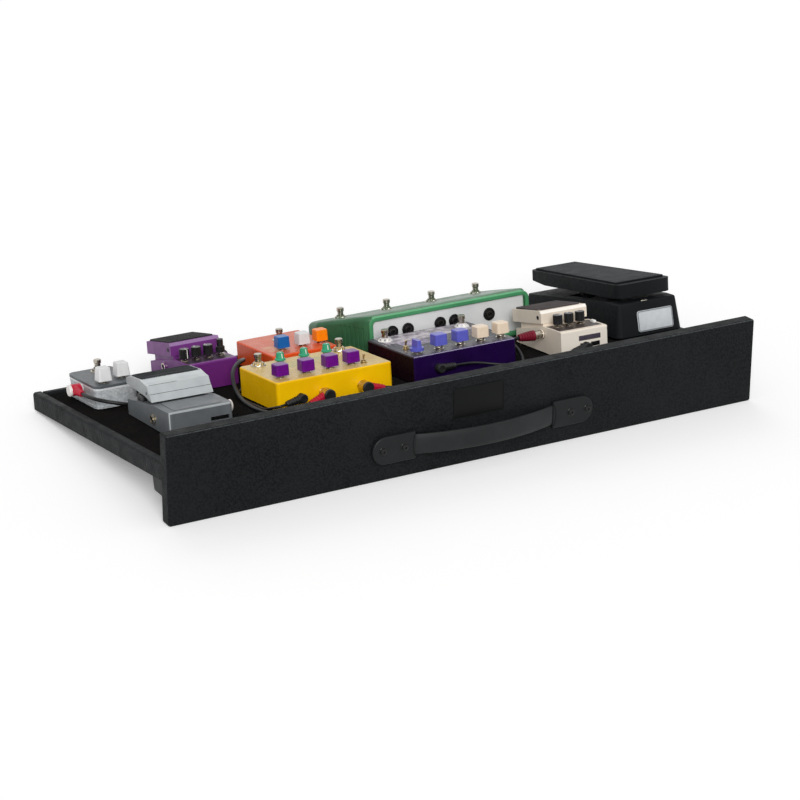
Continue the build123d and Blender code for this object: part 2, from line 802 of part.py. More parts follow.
def make_green_pedal():
    """Moulded body: framed jack panel at the rear, sloping top, fluted corner."""
    left, right = green_rear_inset
    outline = Polyline(
        (left, 0),
        (green_width - right, 0),
        (green_width, green_bulge),
        (green_width - green_far_inset, green_depth),
        (green_far_inset, green_depth),
        (0, green_bulge),
        close=True,
    )
    body = extrude(make_face(outline), amount=green_height)
    body = fillet(body.edges().filter_by(Axis.Z).sort_by(Axis.Y)[-2:], green_lobe_radius)
    corners = body.edges().filter_by(Axis.Z).filter_by(lambda edge: edge.center().Y < green_bulge + 1)
    body = fillet(corners, green_corner)
    above = side_profile(
        [
            (green_ridge, green_height),
            (green_depth + 1, green_top(green_depth + 1)),
            (green_depth + 1, green_height + 5),
            (green_ridge, green_height + 5),
        ],
        green_width + 20,
        -10,
    )
    body = body - above
    panel_width = green_width - left - right
    frame_outer = RectangleRounded(panel_width, green_height - 2, 11)
    frame_inner = RectangleRounded(panel_width - 2 * green_rim, green_height - 2 - 2 * green_rim, 6)
    frame = extrude(frame_outer - frame_inner, amount=green_rim_depth)
    frame = fillet(frame.faces().sort_by(Axis.Z)[-1].edges(), green_rim_radius)
    centre = (left + panel_width / 2, 0, green_height / 2)
    body = body + Pos(*centre) * Rot(90, 0, 0) * frame
    for index in range(green_flutes):
        v = green_flute_start + index * green_flute_pitch
        x = left * (1 - v / green_bulge)
        body = body - upright(1.8, green_height - 16, x, v, 0)
    for x in green_switches:
        top = green_top(green_switch_row)
        body = body + switch_seat(x, green_switch_row, top - 1.5)
        body = body - switch_bore(x, green_switch_row, top - 1.5)
    for x in green_jacks:
        jack = Pos(left + x, 0, green_jack_height) * Rot(90, 0, 0) * upright(green_jack_radius, 2.0)
        hole = Pos(left + x, -0.6, green_jack_height) * Rot(90, 0, 0) * upright(green_jack_hole, 3.0)
        body = body + jack - hole
    x, v, yaw = green_place
    nodes["green_case"] = [on_deck(body, x, v, pedal_seat, yaw)]
    lay_tape(x + 30, v, green_width - 60, green_depth, yaw)
    for index, switch_x in enumerate(green_switches):
        name = "green_footswitch_" + str(index + 1)
        place_plunger(name, green_place, switch_x, green_switch_row, green_top(green_switch_row) - 1.5)


# ---------------------------------------------------------------- wah pedal

wah_place = (774.3, 160.0, -1.7)
wah_width = 113.0
wah_length = 262.0
wah_seat = 0.5                 # above the rim's top, on rubber feet
wah_toe_height = 48.0
wah_heel_height = 21.5
wah_draft = 8.5                # lean of the sides, degrees
wah_pivot = (138.0, 42.0)
wah_treadle_width = 92.0
wah_treadle_start = 12.0
wah_treadle_length = 258.0
wah_treadle_toe = 75.0
wah_treadle_heel = 55.0
wah_treadle_skirt = 20.0
wah_treadle_corner = 12.0
wah_treadle_taper = 6.0        # how much narrower each side is at the heel
wah_heel_rise = 5.5            # the skirt is cut up towards the heel
wah_heel_cut = 45.0
wah_treadle_wall = 4.0
wah_pad_thickness = 2.4
wah_pad_inset = (5.5, 14.0, 11.0)       # at the sides, the toe and the heel
wah_crest = 25.0               # where the base's top begins to fall towards the heel
wah_corner = 12.0
wah_foot_radius = 8.0
wah_foot_inset = 20.0
wah_foot_columns = (22.0, 82.0)
wah_well_length = 56.0
wah_well_floor = 24.0
wah_lug_half = 22.0            # from the middle to a lug
wah_lug_width = 5.0
wah_lug_head = 4.5             # metal over the pivot


def wah_treadle_top(v):
    """Height of the rocker's top at v, above the base's underside."""
    share = (v - wah_treadle_start) / wah_treadle_length
    return wah_treadle_toe + share * (wah_treadle_heel - wah_treadle_toe)


def wah_block(points, x, width):
    """Closed side outline of the wah pedal, from x to x + width."""
    return side_profile(points, width, x)


def make_wah_base():
    """Tapered casting with a well for the rocker's pivot, and four feet."""
    pivot_v, pivot_w = wah_pivot
    side = wah_block(
        [
            (-1, 0),
            (wah_length + 1, 0),
            (wah_length + 1, wah_heel_height),
            (wah_crest, wah_toe_height + 0.2),
            (-1, wah_toe_height),
        ],
        -1,
        wah_width + 2,
    )
    foot_print = RectangleRounded(wah_width, wah_length, wah_corner)
    taper = Pos(wah_width / 2, wah_length / 2, 0) * extrude(
        foot_print, amount=wah_toe_height + 5, taper=wah_draft
    )
    base = side & taper
    base = base.solids()[0]
    rim = base.faces().filter_by(lambda face: face.normal_at().Z > 0.8)
    base = fillet(rim.edges().filter_by(Axis.X).sort_by(Axis.Y)[:1], 3)
    well_width = 2 * wah_lug_half + 26
    well = box_at(
        well_width,
        wah_well_length,
        wah_toe_height,
        wah_width / 2 - well_width / 2,
        pivot_v - wah_well_length / 2,
        wah_well_floor,
    )
    base = base - well
    for side in (-1, 1):
        lug = wah_block(
            [
                (pivot_v - 13, wah_well_floor - 1),
                (pivot_v + 13, wah_well_floor - 1),
                (pivot_v + 5, pivot_w + wah_lug_head),
                (pivot_v - 5, pivot_w + wah_lug_head),
            ],
            wah_width / 2 + side * wah_lug_half - wah_lug_width / 2,
            wah_lug_width,
        )
        base = base + lug
    hole_radius = pin_diameter / 2 + pin_clearance
    base = base - lying(hole_radius, wah_width, 0, pivot_v, pivot_w)
    foot_height = wah_seat - carpet_top
    feet = []
    for x in wah_foot_columns:
        for v in (wah_foot_inset, wah_length - wah_foot_inset):
            feet.append(upright(wah_foot_radius, foot_height, x, v, -foot_height))
    return [base] + feet


def make_wah_rocker():
    """Hollow cast rocker with a rubber pad, ears and its pivot pin."""
    pivot_v, pivot_w = wah_pivot
    middle = wah_width / 2
    left = middle - wah_treadle_width / 2
    start = wah_treadle_start
    end = start + wah_treadle_length
    skirt = wah_treadle_skirt
    outer = wah_block(
        [
            (start, wah_treadle_top(start) - skirt),
            (end - wah_heel_cut, wah_treadle_top(end - wah_heel_cut) - skirt),
            (end, wah_treadle_top(end) - skirt + wah_heel_rise),
            (end, wah_treadle_top(end)),
            (start, wah_treadle_top(start)),
        ],
        left,
        wah_treadle_width,
    )
    plan = Polyline(
        (left, start),
        (left + wah_treadle_width, start),
        (left + wah_treadle_width - wah_treadle_taper, end),
        (left + wah_treadle_taper, end),
        close=True,
    )
    outer = outer & extrude(make_face(plan), amount=wah_treadle_toe + skirt)
    outer = outer.solids()[0]
    ends = outer.edges().filter_by(lambda edge: abs(edge.tangent_at(0.5).Z) > 0.8)
    outer = fillet(ends, wah_treadle_corner)
    wall = wah_treadle_wall
    inner_left = left + wah_treadle_taper + wall
    inner = wah_block(
        [
            (start + 2 * wall, wah_treadle_top(start) - skirt - 6),
            (end - 2 * wall, wah_treadle_top(end) - skirt - 6),
            (end - 2 * wall, wah_treadle_top(end - 2 * wall) - wall),
            (start + 2 * wall, wah_treadle_top(start + 2 * wall) - wall),
        ],
        inner_left,
        wah_treadle_width - 2 * (wah_treadle_taper + wall),
    )
    rocker = outer - inner
    for side in (-1, 1):
        ear = wah_block(
            [
                (pivot_v - 10, wah_treadle_top(pivot_v - 10) - wall + 0.5),
                (pivot_v - 5, pivot_w - 4.5),
                (pivot_v + 5, pivot_w - 4.5),
                (pivot_v + 10, wah_treadle_top(pivot_v + 10) - wall + 0.5),
            ],
            middle + side * (wah_lug_half + wah_lug_width + running_gap) - wah_lug_width / 2,
            wah_lug_width,
        )
        rocker = rocker + ear
    rocker = rocker - lying(pin_diameter / 2, wah_width, 0, pivot_v, pivot_w)
    side_inset, toe_inset, heel_inset = wah_pad_inset
    pad_start, pad_end = start + toe_inset, end - heel_inset
    pad = wah_block(
        [
            (pad_start, wah_treadle_top(pad_start)),
            (pad_end, wah_treadle_top(pad_end)),
            (pad_end, wah_treadle_top(pad_end) + wah_pad_thickness),
            (pad_start, wah_treadle_top(pad_start) + wah_pad_thickness),
        ],
        left + side_inset,
        wah_treadle_width - 2 * side_inset,
    )
    pad_plan = Polyline(
        (left + side_inset, start),
        (left + wah_treadle_width - side_inset, start),
        (left + wah_treadle_width - side_inset - wah_treadle_taper, end),
        (left + side_inset + wah_treadle_taper, end),
        close=True,
    )
    pad = pad & extrude(make_face(pad_plan), amount=wah_treadle_toe + skirt)
    rocker = rocker + pad
    half = wah_lug_half + 1.5 * wah_lug_width + running_gap
    pin = lying(pin_diameter / 2, 2 * half, middle - half, pivot_v, pivot_w)
    return [rocker, pin]


def make_wah_pedal():
    x, v, yaw = wah_place
    nodes["wah_base"] = [on_deck(solid, x, v, wah_seat, yaw) for solid in make_wah_base()]
    nodes["wah_rocker"] = [on_deck(solid, x, v, wah_seat, yaw) for solid in make_wah_rocker()]


# ---------------------------------------------------------------- plugs and leads

patch_diameter = 5.2
purple_lead_diameter = 5.8
power_diameter = 3.5
elbow_diameter = 16.0
elbow_length = 18.0            # along the jack's axis
elbow_boot_length = 20.0
elbow_boot_root = 12.5
elbow_boot_tip = 8.0
sleeve_diameter = 11.0
sleeve_length = 12.0
straight_boot_length = 24.0
power_elbow_diameter = 11.0
power_elbow_length = 12.0
power_boot_length = 18.0
power_boot_root = 8.5
power_boot_tip = 5.0
power_sleeve_length = 12.0


def make_boot(length, root, tip):
    """Strain relief that narrows from its root at z = 0."""
    return Cone(root / 2, tip / 2, length, align=(Align.CENTER, Align.CENTER, Align.MIN))


def make_elbow(diameter, length, boot_length, boot_root, boot_tip):
    """Elbow plug on a jack that faces +Z at the origin, its boot along +X."""
    head = upright(diameter / 2, length)
    head = chamfer(head.faces().sort_by(Axis.Z)[-1].edges(), diameter * 0.08)
    root = diameter / 2 - boot_root * 0.3
    reach = diameter / 2 + boot_length
    boot = make_boot(reach - root, boot_root, boot_tip)
    return head + Pos(root, 0, length / 2) * Rot(0, 90, 0) * boot, (reach, 0, length / 2)


def patch_elbow():
    return make_elbow(elbow_diameter, elbow_length, elbow_boot_length, elbow_boot_root, elbow_boot_tip)


def power_elbow():
    return make_elbow(
        power_elbow_diameter, power_elbow_length, power_boot_length, power_boot_root, power_boot_tip
    )


def make_straight(diameter, length, boot_length, boot_root, boot_tip):
    """Straight plug on a jack that faces +Z at the origin."""
    sleeve = upright(diameter / 2, length)
    boot = Pos(0, 0, length) * make_boot(boot_length, boot_root, boot_tip)
    return sleeve + boot, (0, 0, length + boot_length)


def patch_straight():
    return make_straight(
        sleeve_diameter, sleeve_length, straight_boot_length, elbow_boot_root, elbow_boot_tip
    )


def power_straight():
    return make_straight(
        power_boot_root, power_sleeve_length, power_boot_length / 2, power_boot_root, power_boot_tip
    )


plugs = []


def fit_plug(made, pedal, x, v, w, facing, roll=0.0, run=10.0):
    """Seat a plug on a jack; give its cord's end and the point a run further out."""
    plug, boot_end = made
    origin_x, origin_v, yaw = pedal
    place = Location((origin_x, origin_v, pedal_seat), (0, 0, yaw)) * Location((x, v, w))
    place = place * facings[facing] * Rot(0, 0, roll)
    plugs.append(deck_frame.location * place * plug)
    tip = Vector(*boot_end)
    outwards = Vector(1, 0, 0) if boot_end[0] > 0 else Vector(0, 0, 1)
    points = []
    for distance in (0, run):
        point = tip + outwards * distance
        points.append(tuple((place * Location(tuple(point))).position))
    return points


def lay_cord(name, points, diameter):
    """Tube of straight runs and tangent arcs through points on the deck."""
    route = [deck_frame.location * Location(point) for point in points]
    route = [place.position for place in route]
    radii = []
    for index in range(1, len(route) - 1):
        before = route[index] - route[index - 1]
        after = route[index + 1] - route[index]
        turn = math.radians(before.get_angle(after))
        radii.append(0.45 * min(before.length, after.length) / math.tan(turn / 2))
    path = FilletPolyline(*route, radius=radii)
    section = Plane(origin=path @ 0, z_dir=path % 0) * Circle(diameter / 2)
    tube = sweep(section, path=path)
    exact = math.pi * diameter**2 / 4 * path.length
    rounded = [round(radius, 1) for radius in radii]
    print(name, "radii", rounded, "length", round(path.length), "volume", round(tube.volume / exact, 4))
    nodes[name] = [tube]


def make_mini_lead():
    nut = jack_nut_height
    start = fit_plug(patch_elbow(), mini_place, 1.5 - nut, *mini_jack, "left", -90, 20)
    end = fit_plug(patch_elbow(), grey_place, grey_width + nut, *grey_jack, "right", 90, 20)
    points = start + [
        (33, 301, 16.5),
        (49, 288.5, 12.5),
        (75, 282, 6),
        (104, 281.5, -0.3),
        (130, 283, -1.3),
        (151, 279, -1.3),
        (163.5, 264, -1),
        (165.8, 246, 3),
    ]
    lay_cord("mini_lead", points + end[::-1], patch_diameter)


def make_purple_lead():
    nut = jack_nut_height
    start = fit_plug(patch_elbow(), purple_place, compact_width + nut, *purple_jack, "right", -90, 20)
    jack = yellow_jacks["in"]
    end = fit_plug(patch_elbow(), yellow_place, jack, -nut, yellow_jack_height, "front", 197, 17)
    points = start + [
        (263, 328.5, 27),
        (252, 304, 33.5),
        (231, 287, 33.5),
        (216, 269, 26),
        (210.5, 250, 11.5),
        (207.5, 225, 1.5),
        (206, 197, -1),
        (205, 172, -1),
        (207, 154, -1),
        (214, 139.5, -1),
        (228, 131.5, -0.9),
    ]
    lay_cord("purple_lead", points + end[::-1], purple_lead_diameter)


def make_yellow_power_lead():
    start = fit_plug(power_straight(), orange_place, 0, *orange_power, "left", 0, 10)
    end = fit_plug(power_elbow(), yellow_place, yellow_power[0], 0, yellow_power[1], "front", 190, 8)
    points = start + [
        (257.5, 329.5, 8),
        (254.5, 315, 2.5),
        (248, 298, -1.6),
        (233, 282, -2.1),
        (219, 266, -2.1),
        (214.5, 244, -2.1),
        (213.5, 215, -2.1),
        (214.5, 188, -2.1),
        (213.8, 172, -1.6),
        (213, 159, 1),
        (212.5, 147.5, 4.5),
        (215.5, 139.5, 6.5),
    ]
    lay_cord("yellow_power_lead", points + end[::-1], power_diameter)


def make_link_lead():
    nut = jack_nut_height
    jack = yellow_jacks["out"]
    start = fit_plug(patch_elbow(), yellow_place, jack, -nut, yellow_jack_height, "front", -12, 22)
    end = fit_plug(patch_straight(), cream_place, -nut, *cream_jack, "left", 0, 8.5)
    points = start + [
        (421, 124.5, -1),
        (452, 113.5, -1.3),
        (488, 107, -1.3),
        (525, 104, -1.3),
        (555, 105, -1.3),
        (577, 111, -0.8),
        (592, 123.5, 3),
        (600, 139, 10),
        (602.5, 153, 17),
        (603, 167, 22),
        (605.6, 176.5, 24.2),
    ]
    lay_cord("link_lead", points + end[::-1], patch_diameter)


def make_violet_power_lead():
    start = fit_plug(power_elbow(), violet_place, violet_power[0], 0, violet_power[1], "front", 0, 18)
    end = fit_plug(power_elbow(), cream_place, cream_power[0], 0, cream_power[1], "front", 190, 14)
    points = start + [
        (530, 139, 13.5),
        (549, 130.5, 9.5),
        (569, 121, 6.8),
        (592, 112.5, 6.3),
        (618, 108.5, 4),
        (640, 113, 3.5),
    ]
    lay_cord("violet_power_lead", points + end[::-1], power_diameter)


def make_leads():
    make_mini_lead()
    make_purple_lead()
    make_yellow_power_lead()
    make_link_lead()
    make_violet_power_lead()
    nodes["lead_plugs"] = plugs


# ---------------------------------------------------------------- write the parts


def write_parts():
    os.makedirs("parts", exist_ok=True)
    nodes["hook_and_loop"] += tapes
    for name, solids in nodes.items():
        solids = [solid for shape in solids for solid in shape.solids()]
        shape = solids[0] if len(solids) == 1 else Compound(children=solids)
        shape.label = name
        export_step(shape, "parts/" + name + ".step")


make_board()
make_handle()
make_mini_pedal()
make_grey_pedal()
make_compact_pedal("purple", purple_place, purple_row, purple_columns, purple_jack, True)
make_compact_pedal("cream", cream_place, cream_row, cream_columns, cream_jack, False)
make_orange_pedal()
make_yellow_pedal()
make_violet_pedal()
make_green_pedal()
make_wah_pedal()
make_leads()
write_parts()
print("slope", round(math.degrees(slope), 3), "front", round(front_y, 3), "nodes", len(nodes))
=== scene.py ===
import math

import bmesh
import bpy
from mathutils import Matrix, Vector


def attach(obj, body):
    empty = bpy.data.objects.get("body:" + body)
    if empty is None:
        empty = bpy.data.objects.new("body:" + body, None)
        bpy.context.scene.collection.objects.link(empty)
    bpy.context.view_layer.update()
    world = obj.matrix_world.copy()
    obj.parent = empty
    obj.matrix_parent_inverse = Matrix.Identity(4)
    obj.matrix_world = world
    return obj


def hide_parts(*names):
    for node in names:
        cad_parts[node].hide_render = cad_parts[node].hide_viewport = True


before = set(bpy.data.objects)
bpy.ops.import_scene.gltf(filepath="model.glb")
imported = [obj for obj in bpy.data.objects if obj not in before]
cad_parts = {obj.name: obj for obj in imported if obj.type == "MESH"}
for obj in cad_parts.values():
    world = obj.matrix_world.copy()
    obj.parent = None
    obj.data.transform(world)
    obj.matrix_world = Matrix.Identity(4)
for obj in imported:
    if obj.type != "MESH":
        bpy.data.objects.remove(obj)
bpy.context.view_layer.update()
print("frame loaded,", len(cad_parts), "nodes")

# places, in millimetres

board = {
    "frontY": -217.642,      # wall's front face
    "rimRise": 80.2,         # rim's top at the wall
    "slope": 6.63174,        # degrees down towards the rear
    "halfWidth": 444.5,
    "seat": -1.5,            # pedals' undersides below the rim's top
    "wahSeat": 0.5,          # the wah stands on feet
}
pedals = {                   # left edge, front edge and turn in degrees
    "mini": (36.7, 317.6, 0.0),
    "grey": (57.3, 125.0, -2.0),
    "purple": (173.3, 316.7, 0.0),
    "cream": (657.0, 126.5, -3.0),
    "orange": (294.6, 299.0, 0.0),
    "yellow": (221.5, 141.7, 0.0),
    "violet": (432.4, 149.5, 0.0),
    "green": (405.0, 288.0, 0.0),
    "wah": (774.3, 160.0, -1.7),
}
nutSeats = {                 # where nuts sit, above a pedal's underside
    "mini": 31.2, "orange": 33.1, "yellow": 39.8, "violet": 37.1,
    "purple": 37.34, "cream": 37.34, "green": 44.62,
}
widths = {"compact": 74.5, "grey": 89.5}
greenTop = {"front": 12.0, "run": 138.0, "fall": 29.5, "high": 66.0}    # the green pedal's sloping top
millimetre = 0.001           # in metres
deckCorner = Matrix.Translation((-board["halfWidth"], board["frontY"], board["rimRise"]))
deck = Matrix.Scale(millimetre, 4) @ deckCorner @ Matrix.Rotation(-math.radians(board["slope"]), 4, "X")


def onDeck(x, v, w=0.0, yaw=0.0):
    turn = Matrix.Rotation(math.radians(yaw), 4, "Z")
    return deck @ Matrix.Translation((x, v, w)) @ turn


def onPedal(name, x=0.0, v=0.0, w=0.0):
    left, front, yaw = pedals[name]
    seat = board["wahSeat" if name == "wah" else "seat"]
    return onDeck(left, front, seat, yaw) @ Matrix.Translation((x, v, w))


def onWall(x, z, out=0.0):
    # local Z points out of the wall, local Y up
    place = Matrix.Translation((x - board["halfWidth"], board["frontY"] - out, z))
    return Matrix.Scale(millimetre, 4) @ place @ Matrix.Rotation(math.pi / 2, 4, "X")


facings = {                  # turns that point local Z to a side
    "right": Matrix.Rotation(math.pi / 2, 4, "Y"),
    "left": Matrix.Rotation(-math.pi / 2, 4, "Y"),
    "front": Matrix.Rotation(math.pi / 2, 4, "X"),
}


# camera, light and floor

def hexColour(text):
    parts = [int(text[i:i + 2], 16) / 255 for i in (0, 2, 4)]
    linear = [c / 12.92 if c <= 0.04045 else ((c + 0.055) / 1.055) ** 2.4 for c in parts]
    return (*linear, 1.0)


studio = {
    "cameraAt": (-1.5709, -2.7583, 1.2302),
    "azimuth": -29.74,
    "elevation": 20.99,
    "roll": 0.12,
    "lens": 109.76,
    "sensor": 36.0,
    "clipEnd": 100.0,
    "worldStrength": 0.45,
    "keyPower": 2.1,
    "keySpread": 34.0,        # degrees
    "keyFrom": (-0.45, -1.0, 0.72),
    "rearPower": 0.3,
    "rearFrom": (0.25, 1.0, 0.9),
    "floorShade": 0.92,
    "floorGlow": 0.2,
    "floorSize": 30.0,
}


def addObject(name, data):
    made = bpy.data.objects.new(name, data)
    bpy.context.scene.collection.objects.link(made)
    return made


def makeCamera():
    data = bpy.data.cameras.new("studioCamera")
    camera = addObject("studioCamera", data)
    a, e = math.radians(studio["azimuth"]), math.radians(studio["elevation"])
    back = Vector((math.sin(a) * math.cos(e), -math.cos(a) * math.cos(e), math.sin(e)))
    turn = (-back).to_track_quat("-Z", "Y").to_matrix().to_4x4()
    roll = Matrix.Rotation(math.radians(studio["roll"]), 4, "Z")
    camera.matrix_world = Matrix.Translation(studio["cameraAt"]) @ turn @ roll
    data.lens = studio["lens"]
    data.sensor_width = studio["sensor"]
    data.dof.use_dof = False
    data.clip_end = studio["clipEnd"]
    bpy.context.scene.camera = camera


def makeLamp(name, power, comesFrom):
    # far soft lamp, so that the floor is lit evenly
    data = bpy.data.lights.new(name, "SUN")
    data.energy = power
    data.angle = math.radians(studio["keySpread"])
    lamp = addObject(name, data)
    lamp.location = comesFrom
    lamp.rotation_euler = (-Vector(comesFrom)).to_track_quat("-Z", "Y").to_euler()


def seenDirectly(tree):
    # 1 for rays that show the white studio: straight, mirrored or through glass
    rays = tree.nodes.new("ShaderNodeLightPath")
    first = mathNode(tree, "MAXIMUM", rays.outputs["Is Camera Ray"], rays.outputs["Is Glossy Ray"])
    return mathNode(tree, "MAXIMUM", first, rays.outputs["Is Transmission Ray"])


def mathNode(tree, operation, first, second=None, third=None):
    node = tree.nodes.new("ShaderNodeMath")
    node.operation = operation
    for socket, value in zip(node.inputs, (first, second, third)):
        if value is None:
            continue
        if isinstance(value, (int, float)):
            socket.default_value = value
        else:
            tree.links.new(value, socket)
    return node.outputs[0]


def makeWorld():
    world = bpy.data.worlds.new("studioWorld")
    world.use_nodes = True
    tree = world.node_tree
    tree.nodes.clear()
    out = tree.nodes.new("ShaderNodeOutputWorld")
    background = tree.nodes.new("ShaderNodeBackground")
    background.inputs["Color"].default_value = (1.0, 1.0, 1.0, 1.0)
    lift = mathNode(tree, "MULTIPLY", seenDirectly(tree), 1.0 - studio["worldStrength"])
    strength = mathNode(tree, "ADD", lift, studio["worldStrength"])
    tree.links.new(strength, background.inputs["Strength"])
    tree.links.new(background.outputs[0], out.inputs["Surface"])
    bpy.context.scene.world = world


def makeFloor():
    half = studio["floorSize"] / 2
    mesh = bpy.data.meshes.new("floor")
    corners = [(-half, -half, 0), (half, -half, 0), (half, half, 0), (-half, half, 0)]
    mesh.from_pydata(corners, [], [(0, 1, 2, 3)])
    floor = addObject("floor", mesh)
    material = bpy.data.materials.new("floorWhite")
    material.use_nodes = True
    tree = material.node_tree
    tree.nodes.clear()
    out = tree.nodes.new("ShaderNodeOutputMaterial")
    diffuse = tree.nodes.new("ShaderNodeBsdfDiffuse")
    shade = studio["floorShade"]
    diffuse.inputs["Color"].default_value = (shade, shade, shade, 1.0)
    glow = tree.nodes.new("ShaderNodeEmission")
    lift = mathNode(tree, "MULTIPLY", seenDirectly(tree), studio["floorGlow"])
    tree.links.new(lift, glow.inputs["Strength"])
    both = tree.nodes.new("ShaderNodeAddShader")
    tree.links.new(diffuse.outputs[0], both.inputs[0])
    tree.links.new(glow.outputs[0], both.inputs[1])
    tree.links.new(both.outputs[0], out.inputs["Surface"])
    mesh.materials.append(material)


makeCamera()
makeWorld()
makeFloor()
makeLamp("keyLamp", studio["keyPower"], studio["keyFrom"])
makeLamp("rearLamp", studio["rearPower"], studio["rearFrom"])
bpy.context.scene.view_settings.view_transform = "Standard"
print("camera, lamps and floor made")


# material building blocks

def startMaterial(name, colour, roughness=0.5, metallic=0.0, specular=0.5, coat=0.0, coatRoughness=0.1):
    material = bpy.data.materials.new(name)
    material.use_nodes = True
    tree = material.node_tree
    shader = tree.nodes["Principled BSDF"]
    shader.inputs["Base Color"].default_value = hexColour(colour)
    shader.inputs["Roughness"].default_value = roughness
    shader.inputs["Metallic"].default_value = metallic
    shader.inputs["Specular IOR Level"].default_value = specular
    shader.inputs["Coat Weight"].default_value = coat
    shader.inputs["Coat Roughness"].default_value = coatRoughness
    coords = tree.nodes.new("ShaderNodeTexCoord")
    return material, tree, shader, coords.outputs["Object"]


def localMillimetres(tree, coords, place):
    # coordinates in a pedal's own frame, in millimetres
    turned = tree.nodes.new("ShaderNodeMapping")
    turned.vector_type = "TEXTURE"
    location, rotation = place.decompose()[:2]
    turned.inputs["Location"].default_value = location
    turned.inputs["Rotation"].default_value = rotation.to_euler("XYZ")
    turned.inputs["Scale"].default_value = (millimetre, millimetre, millimetre)
    tree.links.new(coords, turned.inputs["Vector"])
    split = tree.nodes.new("ShaderNodeSeparateXYZ")
    tree.links.new(turned.outputs["Vector"], split.inputs[0])
    return turned.outputs["Vector"], split.outputs


def noiseNode(tree, coords, scale, detail=2.0, roughness=0.5):
    node = tree.nodes.new("ShaderNodeTexNoise")
    node.inputs["Scale"].default_value = scale
    node.inputs["Detail"].default_value = detail
    node.inputs["Roughness"].default_value = roughness
    tree.links.new(coords, node.inputs["Vector"])
    return node.outputs["Fac"]


def cellNode(tree, coords, scale, feature="F1", smooth=None):
    node = tree.nodes.new("ShaderNodeTexVoronoi")
    node.feature = feature
    node.inputs["Scale"].default_value = scale
    if smooth is not None:
        node.inputs["Smoothness"].default_value = smooth
    tree.links.new(coords, node.inputs["Vector"])
    return node.outputs["Distance"]


def stretch(tree, value, low, high, toLow, toHigh):
    node = tree.nodes.new("ShaderNodeMapRange")
    for key, number in (("From Min", low), ("From Max", high), ("To Min", toLow), ("To Max", toHigh)):
        node.inputs[key].default_value = number
    tree.links.new(value, node.inputs["Value"])
    return node.outputs["Result"]


def mixColours(tree, factor, first, second):
    node = tree.nodes.new("ShaderNodeMix")
    node.data_type = "RGBA"
    for socket, value in ((node.inputs["Factor"], factor), (node.inputs[6], first), (node.inputs[7], second)):
        if isinstance(value, str):
            socket.default_value = hexColour(value)
        else:
            tree.links.new(value, socket)
    return node.outputs[2]


def addBump(tree, shader, height, strength, distance):
    node = tree.nodes.new("ShaderNodeBump")
    node.inputs["Strength"].default_value = strength
    node.inputs["Distance"].default_value = distance
    tree.links.new(height, node.inputs["Height"])
    if shader.inputs["Normal"].is_linked:
        tree.links.new(shader.inputs["Normal"].links[0].from_socket, node.inputs["Normal"])
    tree.links.new(node.outputs["Normal"], shader.inputs["Normal"])


def times(tree, first, second):
    return mathNode(tree, "MULTIPLY", first, second)


def over(tree, value, limit):
    return mathNode(tree, "GREATER_THAN", value, limit)


def under(tree, value, limit):
    return mathNode(tree, "LESS_THAN", value, limit)


def within(tree, value, low, high):
    return times(tree, over(tree, value, low), under(tree, value, high))


def patch(tree, axes, uRange, vRange):
    return times(tree, within(tree, axes[0], *uRange), within(tree, axes[1], *vRange))


def drift(tree, coords, scale, detail=5, roughness=0.5, low=0.3, high=0.7, amount=1.0):
    # slow change over a surface, from nothing to the amount
    return stretch(tree, noiseNode(tree, coords, scale, detail, roughness), low, high, 0.0, amount)


def setColour(tree, shader, colour):
    tree.links.new(colour, shader.inputs["Base Color"])


def varyRoughness(tree, shader, coords, scale, low, high):
    rough = stretch(tree, noiseNode(tree, coords, scale, 4), 0.3, 0.7, low, high)
    tree.links.new(rough, shader.inputs["Roughness"])


# finishes

def vinylFinish():
    look = {
        # the last colour, 4A4E50, is a painted highlight laid along the wall's top front edge
        "ridge": "1F2122", "crease": "0F1011", "broad": "212426", "rubbed": "4A4E50",
        "edgeY": (-0.2181, -0.2162), "edgeZ": (0.1196, 0.1206),     # the wall's top front edge, in metres
    }
    material, tree, shader, coords = startMaterial("grainedVinyl", "17181A", 0.55, specular=0.06)
    cells = cellNode(tree, coords, 450.0, "SMOOTH_F1", 0.35)
    fine = noiseNode(tree, coords, 1500.0, 3)
    height = mathNode(tree, "ADD", times(tree, cells, -1.0), times(tree, fine, 0.35))
    addBump(tree, shader, height, 0.75, 0.0006)
    base = mixColours(tree, stretch(tree, cells, 0.15, 0.75, 0.0, 1.0), look["ridge"], look["crease"])
    base = mixColours(tree, drift(tree, coords, 9.0, 4, low=0.35, high=0.65, amount=0.35), base, look["broad"])
    split = tree.nodes.new("ShaderNodeSeparateXYZ")
    tree.links.new(coords, split.inputs[0])
    # painted highlight along that edge, broken up grain by grain
    deep, up = split.outputs[1:]
    edge = times(tree, within(tree, deep, *look["edgeY"]), within(tree, up, *look["edgeZ"]))
    rubbed = stretch(tree, noiseNode(tree, coords, 330.0, 4, 0.6), 0.36, 0.6, 0.3, 0.95)
    setColour(tree, shader, mixColours(tree, times(tree, edge, rubbed), base, look["rubbed"]))
    varyRoughness(tree, shader, coords, 60.0, 0.42, 0.6)
    return material


def loopPileFinish():
    material, tree, shader, coords = startMaterial("loopPile", "0C0B0B", 0.95, specular=0.0)
    loops = cellNode(tree, coords, 620.0)
    fuzz = noiseNode(tree, coords, 2300.0, 4, 0.7)
    height = mathNode(tree, "ADD", times(tree, loops, -1.0), times(tree, fuzz, 0.6))
    addBump(tree, shader, height, 1.0, 0.0014)
    base = mixColours(tree, drift(tree, coords, 34.0, 5, 0.65, 0.4), "0D0D0D", "17120F")
    setColour(tree, shader, mixColours(tree, stretch(tree, fuzz, 0.55, 0.8, 0.0, 0.6), base, "2A2320"))
    shader.inputs["Sheen Weight"].default_value = 0.02
    shader.inputs["Sheen Roughness"].default_value = 0.45
    return material


